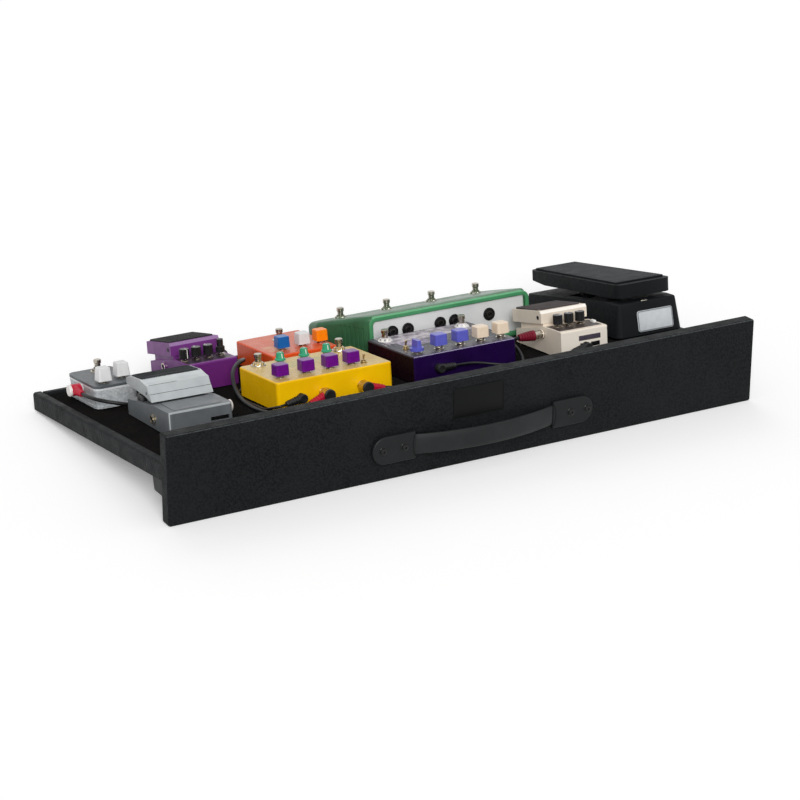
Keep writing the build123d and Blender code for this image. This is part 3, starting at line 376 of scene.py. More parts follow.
def mouldedFinish(name, colour, roughness, specular=0.4, grain=1400.0, depth=0.00008, light=None):
    # rubber or plastic: a fine moulded grain and a little rubbed shine
    material, tree, shader, coords = startMaterial(name, colour, roughness, specular=specular)
    addBump(tree, shader, noiseNode(tree, coords, grain, 3), 0.5, depth)
    varyRoughness(tree, shader, coords, 45.0, roughness - 0.07, roughness + 0.07)
    if light:
        rubbed = drift(tree, coords, 24.0, 5, 0.6, 0.45, 0.75, 0.7)
        setColour(tree, shader, mixColours(tree, rubbed, colour, light))
    return material


def glossFinish(name, colour, dark, roughness=0.28):
    material, tree, shader, coords = startMaterial(name, colour, roughness, specular=0.3, coat=0.1)
    setColour(tree, shader, mixColours(tree, drift(tree, coords, 130.0, 4, low=0.35, amount=0.5), colour, dark))
    addBump(tree, shader, noiseNode(tree, coords, 380.0, 2), 0.25, 0.00012)
    return material


def platedFinish(name, colour="BDB6AA", dark="6E675C", roughness=0.16):
    material, tree, shader, coords = startMaterial(name, colour, roughness, metallic=1.0)
    setColour(tree, shader, mixColours(tree, drift(tree, coords, 210.0, 4, low=0.4, amount=0.55), colour, dark))
    varyRoughness(tree, shader, coords, 320.0, roughness - 0.06, roughness + 0.12)
    addBump(tree, shader, noiseNode(tree, coords, 2400.0, 2), 0.2, 0.00004)
    return material


def sprayedCoat(tree, shader, coords, peel=0.00006, roughLow=0.22, roughHigh=0.36):
    addBump(tree, shader, noiseNode(tree, coords, 420.0, 3), 0.4, peel)
    varyRoughness(tree, shader, coords, 70.0, roughLow, roughHigh)


def boxedFinish(name, look):
    # sprayed box with a printed top; bands are plain blocks of print on the top
    material, tree, shader, coords = startMaterial(name + "Paint", look["sides"], 0.4, specular=0.18, coat=0.04)
    local, axes = localMillimetres(tree, coords, onPedal(name))
    roof = nutSeats[name]
    wear = drift(tree, coords, 26.0)
    sides = mixColours(tree, wear, look["sides"], look["sidesDark"])
    if "left" in look:
        # painted shade: the left side is darker than the other sides
        sides = mixColours(tree, under(tree, axes[0], 1.2), sides, look["left"])
    top = mixColours(tree, wear, look["top"], look["topDark"])
    blotch = stretch(tree, noiseNode(tree, local, 0.09, 3), 0.35, 0.62, 0.25, 1.0)
    for colour, uRange, vRange, amount in look["bands"]:
        area = times(tree, patch(tree, axes, uRange, vRange), blotch)
        top = mixColours(tree, times(tree, area, amount), top, colour)
    if "edge" in look:
        # painted highlight along the front top edge
        edge = times(tree, within(tree, axes[1], -0.5, 1.0), over(tree, axes[2], roof - 1.5))
        sides = mixColours(tree, edge, sides, look["edge"])
    setColour(tree, shader, mixColours(tree, over(tree, axes[2], roof - 0.25), sides, top))
    sprayedCoat(tree, shader, coords)
    return material


def compactFinish(name, look, treadle=False):
    # sprayed case with a dark panel on its shelf, or the treadle over it
    material, tree, shader, coords = startMaterial(
        name + ("TreadlePaint" if treadle else "Paint"), look["colour"], 0.45,
        specular=0.3, coat=0.05, coatRoughness=0.3)
    axes = localMillimetres(tree, coords, onPedal(name))[1]
    base = mixColours(tree, drift(tree, coords, 30.0), look["colour"], look["dark"])
    if treadle:
        # painted highlight along the top front edge
        edge = times(tree, within(tree, axes[1], 54.8, 58.3), over(tree, axes[2], 54.3))
        base = mixColours(tree, edge, base, look["edge"])
    else:
        base = mixColours(tree, under(tree, axes[1], 1.0), base, look["front"])
        # the shelf falls 1 mm in 50
        rise = mathNode(tree, "MULTIPLY_ADD", axes[1], 0.02, axes[2])
        onShelf = over(tree, rise, look["shelf"] - 0.3)
        area = times(tree, patch(tree, axes, look["panelAcross"], look["panelDeep"]), onShelf)
        base = mixColours(tree, area, base, look["panelColour"])
    setColour(tree, shader, base)
    sprayedCoat(tree, shader, coords, 0.00009, 0.34, 0.5)
    return material


def hammeredFinish():
    look = {
        # the brightest silver, F2F4F5, is a painted highlight used just under the plate
        "silver": "D2D5D7", "silverDark": "AEB2B5", "worn": "F2F4F5",
        "plate": "5A5F63", "plateDark": "484D51", "shell": 27.7,    # the shell's height
    }
    material, tree, shader, coords = startMaterial(
        "hammeredSilver", look["silver"], 0.42, metallic=0.12, specular=0.3)
    axes = localMillimetres(tree, coords, onPedal("mini"))[1]
    dents = cellNode(tree, coords, 300.0, "SMOOTH_F1", 0.6)
    silver = mixColours(tree, stretch(tree, dents, 0.1, 0.8, 0.0, 1.0), look["silver"], look["silverDark"])
    plate = mixColours(tree, drift(tree, coords, 150.0, low=0.35), look["plate"], look["plateDark"])
    # painted highlight: a bright band just under the plate
    worn = times(tree, within(tree, axes[2], look["shell"] - 2.6, look["shell"]), 0.6)
    silver = mixColours(tree, worn, silver, look["worn"])
    setColour(tree, shader, mixColours(tree, over(tree, axes[2], look["shell"]), silver, plate))
    addBump(tree, shader, dents, 0.6, 0.0005)
    return material


def satinMetalFinish(name, colour, dark, metallic, roughness, rubbed=None):
    material, tree, shader, coords = startMaterial(name, colour, roughness, metallic=metallic)
    base = mixColours(tree, drift(tree, coords, 40.0, 6, 0.6), colour, dark)
    if rubbed:
        # painted highlight along the grey case's front edges
        axes = localMillimetres(tree, coords, onPedal("grey"))[1]
        edge = mathNode(tree, "MAXIMUM", over(tree, axes[2], 30.6), within(tree, axes[0], 0.3, 2.0))
        base = mixColours(tree, times(tree, under(tree, axes[1], 2.2), edge), base, rubbed)
    setColour(tree, shader, base)
    addBump(tree, shader, noiseNode(tree, coords, 2600.0, 2), 0.35, 0.00004)
    varyRoughness(tree, shader, coords, 90.0, roughness - 0.08, roughness + 0.08)
    return material


def crinkleFinish():
    material, tree, shader, coords = startMaterial("crinkleBlack", "141618", 0.6, specular=0.1)
    addBump(tree, shader, noiseNode(tree, coords, 900.0, 5, 0.65), 0.7, 0.0004)
    setColour(tree, shader, mixColours(tree, drift(tree, coords, 14.0, 4, low=0.35), "121416", "1A1C1E"))
    varyRoughness(tree, shader, coords, 200.0, 0.48, 0.66)
    return material


def greenShellFinish():
    look = {
        "shell": "3A6B48", "shellDark": "2C5639", "rim": "4A9163", "rimDark": "3B7E53",
        # 6FB585 is a painted highlight colour for the rim's top front edge
        "rimDeep": 15.5, "brow": "6FB585",
        "panel": "DADBDA", "panelDark": "CBCDCD",
        "panelAcross": (43.0, 294.0), "panelUp": (8.0, 59.0),
        "band": "76857A", "bandAcross": (40.0, 290.0), "bandDeep": (22.0, 86.0),
    }
    material, tree, shader, coords = startMaterial(
        "greenShell", look["shell"], 0.4, specular=0.22, coat=0.04, coatRoughness=0.25)
    axes = localMillimetres(tree, coords, onPedal("green"))[1]
    wear = drift(tree, coords, 22.0)
    shell = mixColours(tree, wear, look["shell"], look["shellDark"])
    # only the sloping top lies this high for its depth
    front, run, fall, high = greenTop.values()
    rise = mathNode(tree, "MULTIPLY_ADD", axes[1], fall / run, axes[2])
    topSide = over(tree, rise, high + front * fall / run - 0.6)
    area = times(tree, patch(tree, axes, look["bandAcross"], look["bandDeep"]), topSide)
    shell = mixColours(tree, area, shell, look["band"])
    rim = mixColours(tree, wear, look["rim"], look["rimDark"])
    nearRim = times(tree, under(tree, axes[1], look["rimDeep"]), topSide)
    shell = mixColours(tree, mathNode(tree, "MAXIMUM", under(tree, axes[1], 1.2), nearRim), shell, rim)
    # painted highlight along the rim's top front edge
    brow = times(tree, within(tree, axes[1], -2.6, 0.6), over(tree, axes[2], 63.6))
    shell = mixColours(tree, brow, shell, look["brow"])
    face = times(tree, within(tree, axes[0], *look["panelAcross"]), within(tree, axes[2], *look["panelUp"]))
    face = times(tree, face, within(tree, axes[1], -0.6, 0.8))
    panel = mixColours(tree, wear, look["panel"], look["panelDark"])
    setColour(tree, shader, mixColours(tree, face, shell, panel))
    sprayedCoat(tree, shader, coords, 0.00007, 0.3, 0.46)
    return material


vinyl = vinylFinish()
pile = loopPileFinish()
capPlastic = mouldedFinish("capPlastic", "17191A", 0.42, 0.18, 900.0, 0.0001, "222426")
strapRubber = mouldedFinish("strapRubber", "151718", 0.42, 0.25, 1100.0, 0.0001, "232527")
gussetPlastic = mouldedFinish("gussetPlastic", "1C1D1F", 0.5, 0.2)
padRubber = mouldedFinish("padRubber", "1D1C1D", 0.7, 0.25, 700.0, 0.0002, "2A2929")
brownPad = mouldedFinish("brownPad", "3A3333", 0.62, 0.25, 700.0, 0.0002, "4A4242")
blackRubber = mouldedFinish("blackRubber", "121213", 0.5, 0.45)
redRubber = mouldedFinish("redRubber", "B0102E", 0.4, 0.3, 900.0, 0.0001, "C41A3A")
# a darker copy of the red rubber: painted shade for the cream pedal's plug boot
shadedRedRubber = mouldedFinish("darkRedRubber", "6E1024", 0.45, 0.25, 900.0, 0.0001, "82182E")
silverPlate = platedFinish("nickelPlate")
darkSteel = platedFinish("blackedSteel", "5A5650", "38352F", 0.35)
warmPlate = platedFinish("brassyPlate", "C9B48A", "7E6C48", 0.22)
wahPaint = crinkleFinish()
whitePaint = glossFinish("indicatorWhite", "F0F0EC", "DDDDD8", 0.45)
knobFinishes = {
    "black": mouldedFinish("knobBlack", "161617", 0.34, 0.5),
    "white": glossFinish("knobWhite", "E0E0E0", "CDCDCE"),
    "blue": glossFinish("knobBlue", "0F63B0", "0C5698"),
    "orange": glossFinish("knobOrange", "FF8A08", "F57C04"),
    "purple": glossFinish("knobPurple", "6C0F86", "540A6A"),
    "green": glossFinish("knobGreen", "35A078", "288864"),
    "violet": glossFinish("knobViolet", "6264C4", "5354B4"),
    "cream": glossFinish("knobCream", "F2DEC6", "E6CFB4"),
}
boxLooks = {
    # bands: colour, across, deep and how strong
    "orange": {
        "sides": "EA5A28", "sidesDark": "DA4C1C", "top": "DC6A46", "topDark": "CE5E3C",
        "bands": [("D9B37E", (8.0, 40.0), (24.0, 58.0), 0.5), ("E0502A", (44.0, 98.0), (4.0, 40.0), 0.45)],
    },
    "yellow": {
        "sides": "FBC606", "sidesDark": "F2BA04", "top": "DCC07E", "topDark": "CFB06C",
        "bands": [
            ("A9A873", (38.0, 118.0), (62.0, 92.0), 0.75), ("C9912A", (8.0, 34.0), (4.0, 40.0), 0.45),
            ("B98A3A", (128.0, 168.0), (30.0, 110.0), 0.3),
        ],
    },
    "violet": {
        # left is painted shade for the left side; edge is a painted highlight along the front top edge
        "sides": "220A42", "sidesDark": "190633", "left": "1A0B14", "edge": "9A93AE",
        "top": "57525C", "topDark": "474350",
        "bands": [
            ("DCD4DC", (10.0, 150.0), (86.0, 127.0), 0.95), ("C3B2D2", (22.0, 66.0), (58.0, 86.0), 0.95),
            ("8C8794", (60.0, 150.0), (52.0, 86.0), 0.6),
        ],
    },
}
compactLooks = {
    # edge is a painted highlight along the treadle's top front edge
    "purple": {
        "colour": "7B3A86", "dark": "6A2F76", "front": "64206E", "edge": "93709E", "shelf": 38.0,
        "panelColour": "2A2128", "panelAcross": (3.0, 71.5), "panelDeep": (6.0, 47.0),
    },
    "cream": {
        "colour": "F2E6D6", "dark": "E8DAC8", "front": "EEE5D8", "edge": "FBF5EC", "shelf": 38.0,
        "panelColour": "382E2B", "panelAcross": (3.0, 71.5), "panelDeep": (8.0, 47.0),
    },
}


def paintNode(name, material):
    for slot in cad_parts[name].material_slots:
        slot.material = material


for name in ("front_wall", "rim_rails", "deck_panel"):
    paintNode(name, vinyl)
paintNode("corner_gussets", gussetPlastic)
paintNode("hook_and_loop", pile)
paintNode("handle_caps", capPlastic)
paintNode("handle_strap", strapRubber)
paintNode("mini_case", hammeredFinish())
# the last colour, B6BBBD, is a painted highlight along the grey case's front edges
paintNode("grey_case", satinMetalFinish("greyMetal", "6A6E71", "5C6063", 0.15, 0.45, "B6BBBD"))
paintNode("grey_treadle", satinMetalFinish("silverMetal", "B4B9BA", "A4A9AB", 0.5, 0.36))
for name, look in boxLooks.items():
    paintNode(name + "_case", boxedFinish(name, look))
for name, look in compactLooks.items():
    paintNode(name + "_case", compactFinish(name, look))
    paintNode(name + "_treadle", compactFinish(name, look, treadle=True))
paintNode("green_case", greenShellFinish())
paintNode("wah_base", wahPaint)
paintNode("wah_rocker", wahPaint)
knobColours = {
    "mini_knob": ["white", "white"],
    "orange_knob": ["blue", "white", "orange"],
    "yellow_knob": ["purple"] * 4,
    "yellow_small_knob": ["green"] * 3,
    "violet_knob": ["violet"] * 3 + ["cream"] * 2,
    "purple_knob": ["black"] * 4,
    "cream_knob": ["black"] * 3,
}
for prefix, colours in knobColours.items():
    for number, colour in enumerate(colours, 1):
        paintNode(f"{prefix}_{number}", knobFinishes[colour])
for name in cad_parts:
    if "footswitch" in name:
        paintNode(name, silverPlate)
print("finishes on the frame")


# mesh building blocks

atOrigin = Matrix.Identity(4)


def skin(bm, rings, material=0, ends="closed"):
    # quads between rings; the ends are closed with a face each, joined to each other or left open
    pairs = zip(rings, rings[1:] + rings[:1]) if ends == "joined" else zip(rings, rings[1:])
    for low, high in pairs:
        for step in range(len(low)):
            after = (step + 1) % len(low)
            bm.faces.new((low[step], low[after], high[after], high[step])).material_index = material
    if ends == "closed":
        for end in (rings[0][::-1], rings[-1]):
            bm.faces.new(end).material_index = material


def circle(radius, height, segments):
    turns = [2 * math.pi * step / segments for step in range(segments)]
    return [(radius * math.cos(turn), radius * math.sin(turn), height) for turn in turns]


def lathe(bm, profile, place, segments, material=0):
    # closed turned shape: profile is (radius, height) from one end of the axis to the other
    rings = []
    for radius, height in profile:
        points = circle(radius, height, segments) if radius else [(0, 0, height)]
        rings.append([bm.verts.new(place @ Vector(point)) for point in points])
    for low, high in zip(rings, rings[1:]):
        if len(low) == len(high):
            skin(bm, [low, high], material, "open")
            continue
        for step in range(segments):
            after = (step + 1) % segments
            corners = (low[0], high[after], high[step]) if len(low) == 1 else (low[step], low[after], high[0])
            bm.faces.new(corners).material_index = material


def openLathe(bm, profile, segments=28):
    # turned ring: the profile is a loop away from the axis
    rings = [[bm.verts.new(point) for point in circle(radius, height, segments)] for radius, height in profile]
    skin(bm, rings, ends="joined")


def roundedOutline(width, depth, radius, steps=5):
    # rectangle with round corners, about its own middle
    points = []
    for cornerX, cornerY, start in ((1, 1, 0), (-1, 1, 90), (-1, -1, 180), (1, -1, 270)):
        for step in range(steps + 1):
            turn = math.radians(start + 90 * step / steps)
            points.append((
                cornerX * (width / 2 - radius) + radius * math.cos(turn),
                cornerY * (depth / 2 - radius) + radius * math.sin(turn),
            ))
    return points


def slab(bm, outline, layers, place):
    # stacked outlines: layers are (height, how far the outline is drawn in)
    centre = Vector((sum(p[0] for p in outline), sum(p[1] for p in outline))) / len(outline)
    reach = Vector([max(abs(p[axis] - centre[axis]) for p in outline) for axis in (0, 1)])
    rings = []
    for height, inset in layers:
        share = Vector((1 - inset / reach.x, 1 - inset / reach.y))
        ring = []
        for x, y in outline:
            offset = Vector((x, y)) - centre
            point = (centre.x + offset.x * share.x, centre.y + offset.y * share.y, height)
            ring.append(bm.verts.new(place @ Vector(point)))
        rings.append(ring)
    skin(bm, rings)


def roundedPad(bm, place, width, depth, height, radius, edge, base=-0.4):
    layers = [(base, 0.0), (height - edge, 0.0), (height - edge * 0.35, edge * 0.35), (height, edge)]
    slab(bm, roundedOutline(width, depth, radius), layers, place)


def hexPrism(bm, flats, low, high, chamfer=0.5):
    corner = flats / math.sqrt(3)
    turns = [math.radians(60 * side) for side in range(6)]
    outline = [(corner * math.cos(turn), corner * math.sin(turn)) for turn in turns]
    layers = [(low, chamfer * 0.5), (low + chamfer, 0), (high - chamfer, 0), (high, chamfer)]
    slab(bm, outline, layers, atOrigin)


def hexRing(bm, flats, bore, low, high):
    # hollow nut, round inside
    sides = 36
    rings = []
    for height, draw in ((low, 0.4), (low + 0.5, 0.0), (high - 0.5, 0.0), (high, 0.5)):
        outer = []
        for step in range(sides):
            turn = 2 * math.pi * step / sides
            flat = ((math.degrees(turn) + 30) % 60) - 30
            reach = min(flats / 2 / math.cos(math.radians(flat)), flats / 2 * 1.155 - draw)
            outer.append((reach * math.cos(turn), reach * math.sin(turn), height))
        rings.append(outer)
    rings += [circle(bore / 2, height, sides) for height in (high, low)]
    skin(bm, [[bm.verts.new(point) for point in ring] for ring in rings], ends="joined")


def meshFrom(name, bm, sharp=32.0):
    # faces outwards; edges that turn by more degrees than this stay crisp
    bmesh.ops.recalc_face_normals(bm, faces=bm.faces)
    limit = math.radians(sharp)
    for edge in bm.edges:
        edge.smooth = len(edge.link_faces) == 2 and edge.calc_face_angle(0.0) < limit
    for face in bm.faces:
        face.smooth = True
    mesh = bpy.data.meshes.new(name)
    bm.to_mesh(mesh)
    bm.free()
    return mesh


def finishPiece(name, bm, materials, body, sharp=32.0):
    mesh = meshFrom(name, bm, sharp)
    for material in materials:
        mesh.materials.append(material)
    piece = addObject(name, mesh)
    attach(piece, body)
    return piece


# repeated pieces, scattered by Geometry Nodes

def scatterTree(material):
    # copies of one part at the points of a mesh, turned by their "turn" attribute
    tree = bpy.data.node_groups.new("scatterCopies", "GeometryNodeTree")
    face = tree.interface
    face.new_socket(name="Geometry", in_out="INPUT", socket_type="NodeSocketGeometry")
    face.new_socket(name="Part", in_out="INPUT", socket_type="NodeSocketObject")
    size = face.new_socket(name="Part Size", in_out="INPUT", socket_type="NodeSocketFloat")
    face.new_socket(name="Geometry", in_out="OUTPUT", socket_type="NodeSocketGeometry")
    size.default_value = 1.0
    nodes, links = tree.nodes, tree.links
    source, sink = nodes.new("NodeGroupInput"), nodes.new("NodeGroupOutput")
    part = nodes.new("GeometryNodeObjectInfo")
    turn = nodes.new("GeometryNodeInputNamedAttribute")
    turn.data_type = "FLOAT_VECTOR"
    turn.inputs["Name"].default_value = "turn"
    spread = nodes.new("GeometryNodeInstanceOnPoints")
    realize = nodes.new("GeometryNodeRealizeInstances")
    paint = nodes.new("GeometryNodeSetMaterial")
    paint.inputs["Material"].default_value = material
    links.new(source.outputs["Part"], part.inputs["Object"])
    links.new(source.outputs["Geometry"], spread.inputs["Points"])
    links.new(part.outputs["Geometry"], spread.inputs["Instance"])
    links.new(turn.outputs["Attribute"], spread.inputs["Rotation"])
    links.new(source.outputs["Part Size"], spread.inputs["Scale"])
    links.new(spread.outputs["Instances"], realize.inputs["Geometry"])
    links.new(realize.outputs["Geometry"], paint.inputs["Geometry"])
    links.new(paint.outputs["Geometry"], sink.inputs["Geometry"])
    return tree


def scatter(name, buildPart, spots, material):
    # spots are matrices; buildPart draws one copy, in millimetres, at the origin
    bm = bmesh.new()
    buildPart(bm)
    partMesh = meshFrom(name + "Part", bm)
    mesh = bpy.data.meshes.new(name + "Spots")
    mesh.from_pydata([spot.to_translation() for spot in spots], [], [])
    turns = mesh.attributes.new("turn", "FLOAT_VECTOR", "POINT")
    for index, spot in enumerate(spots):
        turns.data[index].vector = spot.to_quaternion().to_euler("XYZ")
    holder = addObject(name + "Spots", mesh)
    part = addObject(name + "Part", partMesh)
    modifier = holder.modifiers.new("scatter", "NODES")
    tree = scatterTree(material)
    modifier.node_group = tree
    keys = {item.name: item.identifier for item in tree.interface.items_tree if item.in_out == "INPUT"}
    modifier[keys["Part"]] = part
    modifier[keys["Part Size"]] = millimetre
    graph = bpy.context.evaluated_depsgraph_get()
    made = bpy.data.meshes.new_from_object(holder.evaluated_get(graph), depsgraph=graph)
    made.name = name
    holder.modifiers.clear()
    bpy.data.objects.remove(holder)
    bpy.data.objects.remove(part)
    piece = addObject(name, made)
    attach(piece, "board")


# sockets, leads and plugs

sockets = {                  # pedal, x, v, height and the side it faces
    "miniOut": ("mini", 1.5, 51.0, 19.5, "left"),
    "greyIn": ("grey", widths["grey"], 55.0, 12.5, "right"),
    "greyOut": ("grey", 0.0, 55.0, 12.5, "left"),
    "purpleOut": ("purple", 0.0, 80.0, 21.0, "left"),
    "purpleIn": ("purple", widths["compact"], 80.0, 21.0, "right"),
    "creamOut": ("cream", 0.0, 52.0, 26.5, "left"),
    "creamIn": ("cream", widths["compact"], 52.0, 26.5, "right"),
    "yellowIn": ("yellow", 68.0, 0.0, 15.0, "front"),
    "yellowOut": ("yellow", 126.0, 0.0, 15.0, "front"),
    "orangePower": ("orange", 0.0, 38.0, 13.5, "left"),
    "yellowPower": ("yellow", 33.0, 0.0, 15.0, "front"),
    "violetPower": ("violet", 38.0, 0.0, 16.5, "front"),
    "creamPower": ("cream", 38.0, 0.0, 13.5, "front"),
}
outwards = {"left": (-1, 0), "right": (1, 0), "front": (0, -1)}
bootRibs = 5
elbowLooks = {               # standOff is the socket's nut; the lead starts where the frame's plug ends
    "signal": {
        "head": 16.3, "length": 18.2, "boot": 20.0, "root": 12.9, "tip": 8.2,
        "standOff": 2.6, "leadOut": 16.0 / 2, "leadUp": 18.0 / 2,
    },
    "power": {
        "head": 12.4, "length": 12.2, "boot": 18.0, "root": 11.6, "tip": 8.2,
        "standOff": 0.0, "leadOut": 11.0 / 2, "leadUp": 12.0 / 2,
    },
}
straightLooks = {
    "signal": {"sleeve": 12.4, "length": 12.0, "boot": 24.0, "root": 15.6, "tip": 10.4, "standOff": 2.6},
    "power": {"sleeve": 8.8, "length": 12.0, "boot": 9.0, "root": 8.8, "tip": 5.2, "standOff": 0.0},
}


def plugPlace(socket, roll, standOff):
    pedal, x, v, w, facing = sockets[socket]
    sideways, along = outwards[facing]
    place = onPedal(pedal, x + sideways * standOff, v + along * standOff, w)
    return place @ facings[facing] @ Matrix.Rotation(math.radians(roll), 4, "Z")


def ribbedBoot(bm, place, length, root, tip):
    # strain relief: rings that get smaller towards the lead
    profile = [(0.0, 0.0), (root / 2, 0.0)]
    for rib in range(bootRibs):
        start = length * (0.12 + 0.8 * rib / bootRibs)
        step = length * 0.8 / bootRibs
        radius = root / 2 + (tip - root) / 2 * start / length
        profile += [
            (radius, start),
            (radius, start + step * 0.5),
            (radius * 0.86, start + step * 0.58),
            (radius * 0.86, start + step * 0.95),
        ]
    profile += [(tip / 2, length * 0.95), (tip / 2 * 0.9, length), (0.0, length)]
    lathe(bm, profile, place, 24, 1)


def elbowPlug(name, socket, roll, headMaterial, bootMaterial, kind="signal", capMaterial=None):
    # gives the piece, its place, where the lead leaves it and which way
    look = elbowLooks[kind]
    place = plugPlace(socket, roll, look["standOff"])
    radius, length = look["head"] / 2, look["length"]
    bm = bmesh.new()
    head = [(0, 0), (radius * 0.8, 0), (radius * 0.8, 1.2), (radius, 1.6), (radius, length - 3.4)]
    if capMaterial is None:
        head += [
            (radius * 0.97, length - 3.0), (radius * 0.97, length - 2.2), (radius, length - 1.9),
            (radius, length - 1.2), (radius * 0.86, length), (radius * 0.55, length),
            (radius * 0.5, length - 0.5), (0, length - 0.5),
        ]
        lathe(bm, head, place, 32)
    else:
        lathe(bm, head + [(0, length - 3.4)], place, 32)
        lathe(bm, [
            (0, length - 3.6), (radius, length - 3.5), (radius, length - 1.0), (radius * 0.88, length),
            (radius * 0.5, length), (0, length - 0.4),
        ], place, 32, 2)
    start = radius - look["root"] * 0.3
    reach = radius + look["boot"]
    lean = Matrix.Translation((start, 0, length / 2)) @ Matrix.Rotation(math.pi / 2, 4, "Y")
    ribbedBoot(bm, place @ lean, reach - start, look["root"], look["tip"])
    materials = [headMaterial, bootMaterial] + ([capMaterial] if capMaterial else [])
    plug = finishPiece(name, bm, materials, "board")
    return plug, place, Vector((look["leadOut"] + look["boot"], 0, look["leadUp"])), Vector((1, 0, 0))


def straightPlug(name, socket, sleeveMaterial, bootMaterial, kind="signal"):
    look = straightLooks[kind]
    place = plugPlace(socket, 0, look["standOff"])
    radius, length = look["sleeve"] / 2, look["length"]
    bm = bmesh.new()
    if kind == "power":
        lathe(bm, [
            (0, 0), (radius, 0), (radius, length * 0.5), (radius * 0.9, length * 0.55),
            (radius * 0.9, length * 0.7), (radius, length * 0.75), (radius, length), (0, length),
        ], place, 28)
    else:
        lathe(bm, [
            (0, 0), (radius * 0.7, 0), (radius * 0.7, 2.0), (radius, 2.6), (radius, length * 0.55),
            (radius * 0.93, length * 0.58), (radius * 0.93, length * 0.66), (radius, length * 0.7),
            (radius, length), (0, length),
        ], place, 32)
    ribbedBoot(bm, place @ Matrix.Translation((0, 0, length)), look["boot"], look["root"], look["tip"])
    plug = finishPiece(name, bm, [sleeveMaterial, bootMaterial], "board")
    return plug, place, Vector((0, 0, length + look["boot"])), Vector((0, 0, 1))


def leadCurve(name, start, end, points, startRun, endRun, diameter, material, node):
    # a lead leaves each plug straight for its run, then follows points on the deck
    tips = []
    for made, run in ((start, startRun), (end, endRun)):
        place, local, way = made[1:]
        tips.append([place @ local, place @ (local + way * run)])
    route = tips[0] + [deck @ Vector(point) for point in points] + tips[1][::-1]
    curve = bpy.data.curves.new(name, "CURVE")
    curve.dimensions = "3D"
    spline = curve.splines.new("NURBS")
    spline.points.add(len(route) - 1)
    for target, point in zip(spline.points, route):
        target.co = (*point, 1.0)
    spline.order_u = 3
    spline.use_endpoint_u = True
    spline.resolution_u = 12
    curve.bevel_depth = diameter * millimetre / 2
    curve.bevel_resolution = 6
    curve.use_fill_caps = True
    curve.materials.append(material)
    lead = addObject(name, curve)
    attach(lead, "board")
    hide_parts(node)
    total = splineLength(curve)
    print(name, "length", round(total, 4))


def splineLength(curve):
    bare = curve.copy()
    bare.bevel_depth = 0.0
    holder = bpy.data.objects.new("measure", bare)
    mesh = bpy.data.meshes.new_from_object(holder)
    ends = [[mesh.vertices[index].co for index in edge.vertices] for edge in mesh.edges]
    total = sum((first - second).length for first, second in ends)
    bpy.data.objects.remove(holder)
    bpy.data.meshes.remove(mesh)
    bpy.data.curves.remove(bare)
    return total


cordBlack = mouldedFinish("cordBlack", "0E0E0F", 0.38, 0.25, 1500.0, 0.00005, "151516")
cordGrey = mouldedFinish("cordGrey", "151618", 0.4, 0.3, 1500.0, 0.00005, "1E2022")
capWhite = glossFinish("plugCapWhite", "E8E4E0", "CFC9C4", 0.3)


def makeLeads():
    miniPlug = elbowPlug("miniLeadPlugA", "miniOut", -90, redRubber, redRubber, capMaterial=capWhite)
    greyPlug = elbowPlug("miniLeadPlugB", "greyIn", 90, redRubber, blackRubber, capMaterial=capWhite)
    leadCurve("miniLead", miniPlug, greyPlug, [
        (33, 301, 16.5), (49, 288.5, 12.5), (75, 282, 6), (104, 281.5, -0.3), (130, 283, -1.3),
        (151, 279, -1.3), (163.5, 264, -1), (165.8, 246, 3),
    ], 20, 20, 5.2, cordBlack, "mini_lead")
    purplePlug = elbowPlug("purpleLeadPlugA", "purpleIn", -90, blackRubber, blackRubber)
    inPlug = elbowPlug("purpleLeadPlugB", "yellowIn", 197, warmPlate, redRubber, capMaterial=blackRubber)
    leadCurve("purpleLead", purplePlug, inPlug, [
        (263, 328.5, 27), (252, 304, 33.5), (231, 287, 33.5), (216, 269, 26), (210.5, 250, 11.5),
        (207.5, 225, 1.5), (206, 197, -1), (205, 172, -1), (207, 154, -1), (214, 139.5, -1), (228, 131.5, -0.9),
    ], 20, 17, 5.8, cordGrey, "purple_lead")
    orangePlug = straightPlug("yellowPowerPlugA", "orangePower", blackRubber, blackRubber, "power")
    yellowPlug = elbowPlug("yellowPowerPlugB", "yellowPower", 190, blackRubber, blackRubber, "power")
    leadCurve("yellowPowerLead", orangePlug, yellowPlug, [
        (257.5, 329.5, 8), (254.5, 315, 2.5), (248, 298, -1.6), (233, 282, -2.1), (219, 266, -2.1),
        (214.5, 244, -2.1), (213.5, 215, -2.1), (214.5, 188, -2.1), (213.8, 172, -1.6), (213, 159, 1),
        (212.5, 147.5, 4.5), (215.5, 139.5, 6.5),
    ], 10, 8, 3.5, cordBlack, "yellow_power_lead")
    outPlug = elbowPlug("linkLeadPlugA", "yellowOut", -12, warmPlate, redRubber, capMaterial=blackRubber)
    creamPlug = straightPlug("linkLeadPlugB", "creamOut", silverPlate, shadedRedRubber)
    leadCurve("linkLead", outPlug, creamPlug, [
        (421, 124.5, -1), (452, 113.5, -1.3), (488, 107, -1.3), (525, 104, -1.3), (555, 105, -1.3),
        (577, 111, -0.8), (592, 123.5, 3), (600, 139, 10), (602.5, 153, 17), (603, 167, 22),
        (605.6, 176.5, 24.2),
    ], 22, 8.5, 5.2, cordBlack, "link_lead")
    violetPlug = elbowPlug("violetPowerPlugA", "violetPower", 0, blackRubber, blackRubber, "power")
    creamPower = elbowPlug("violetPowerPlugB", "creamPower", 190, blackRubber, blackRubber, "power")
    leadCurve("violetPowerLead", violetPlug, creamPower, [
        (530, 139, 13.5), (549, 130.5, 9.5), (569, 121, 6.8), (592, 112.5, 6.3),
        (618, 108.5, 4), (640, 113, 3.5),
    ], 18, 14, 3.5, cordGrey, "violet_power_lead")
    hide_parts("lead_plugs")
    print("leads and plugs laid")


makeLeads()


# hardware on the pedals

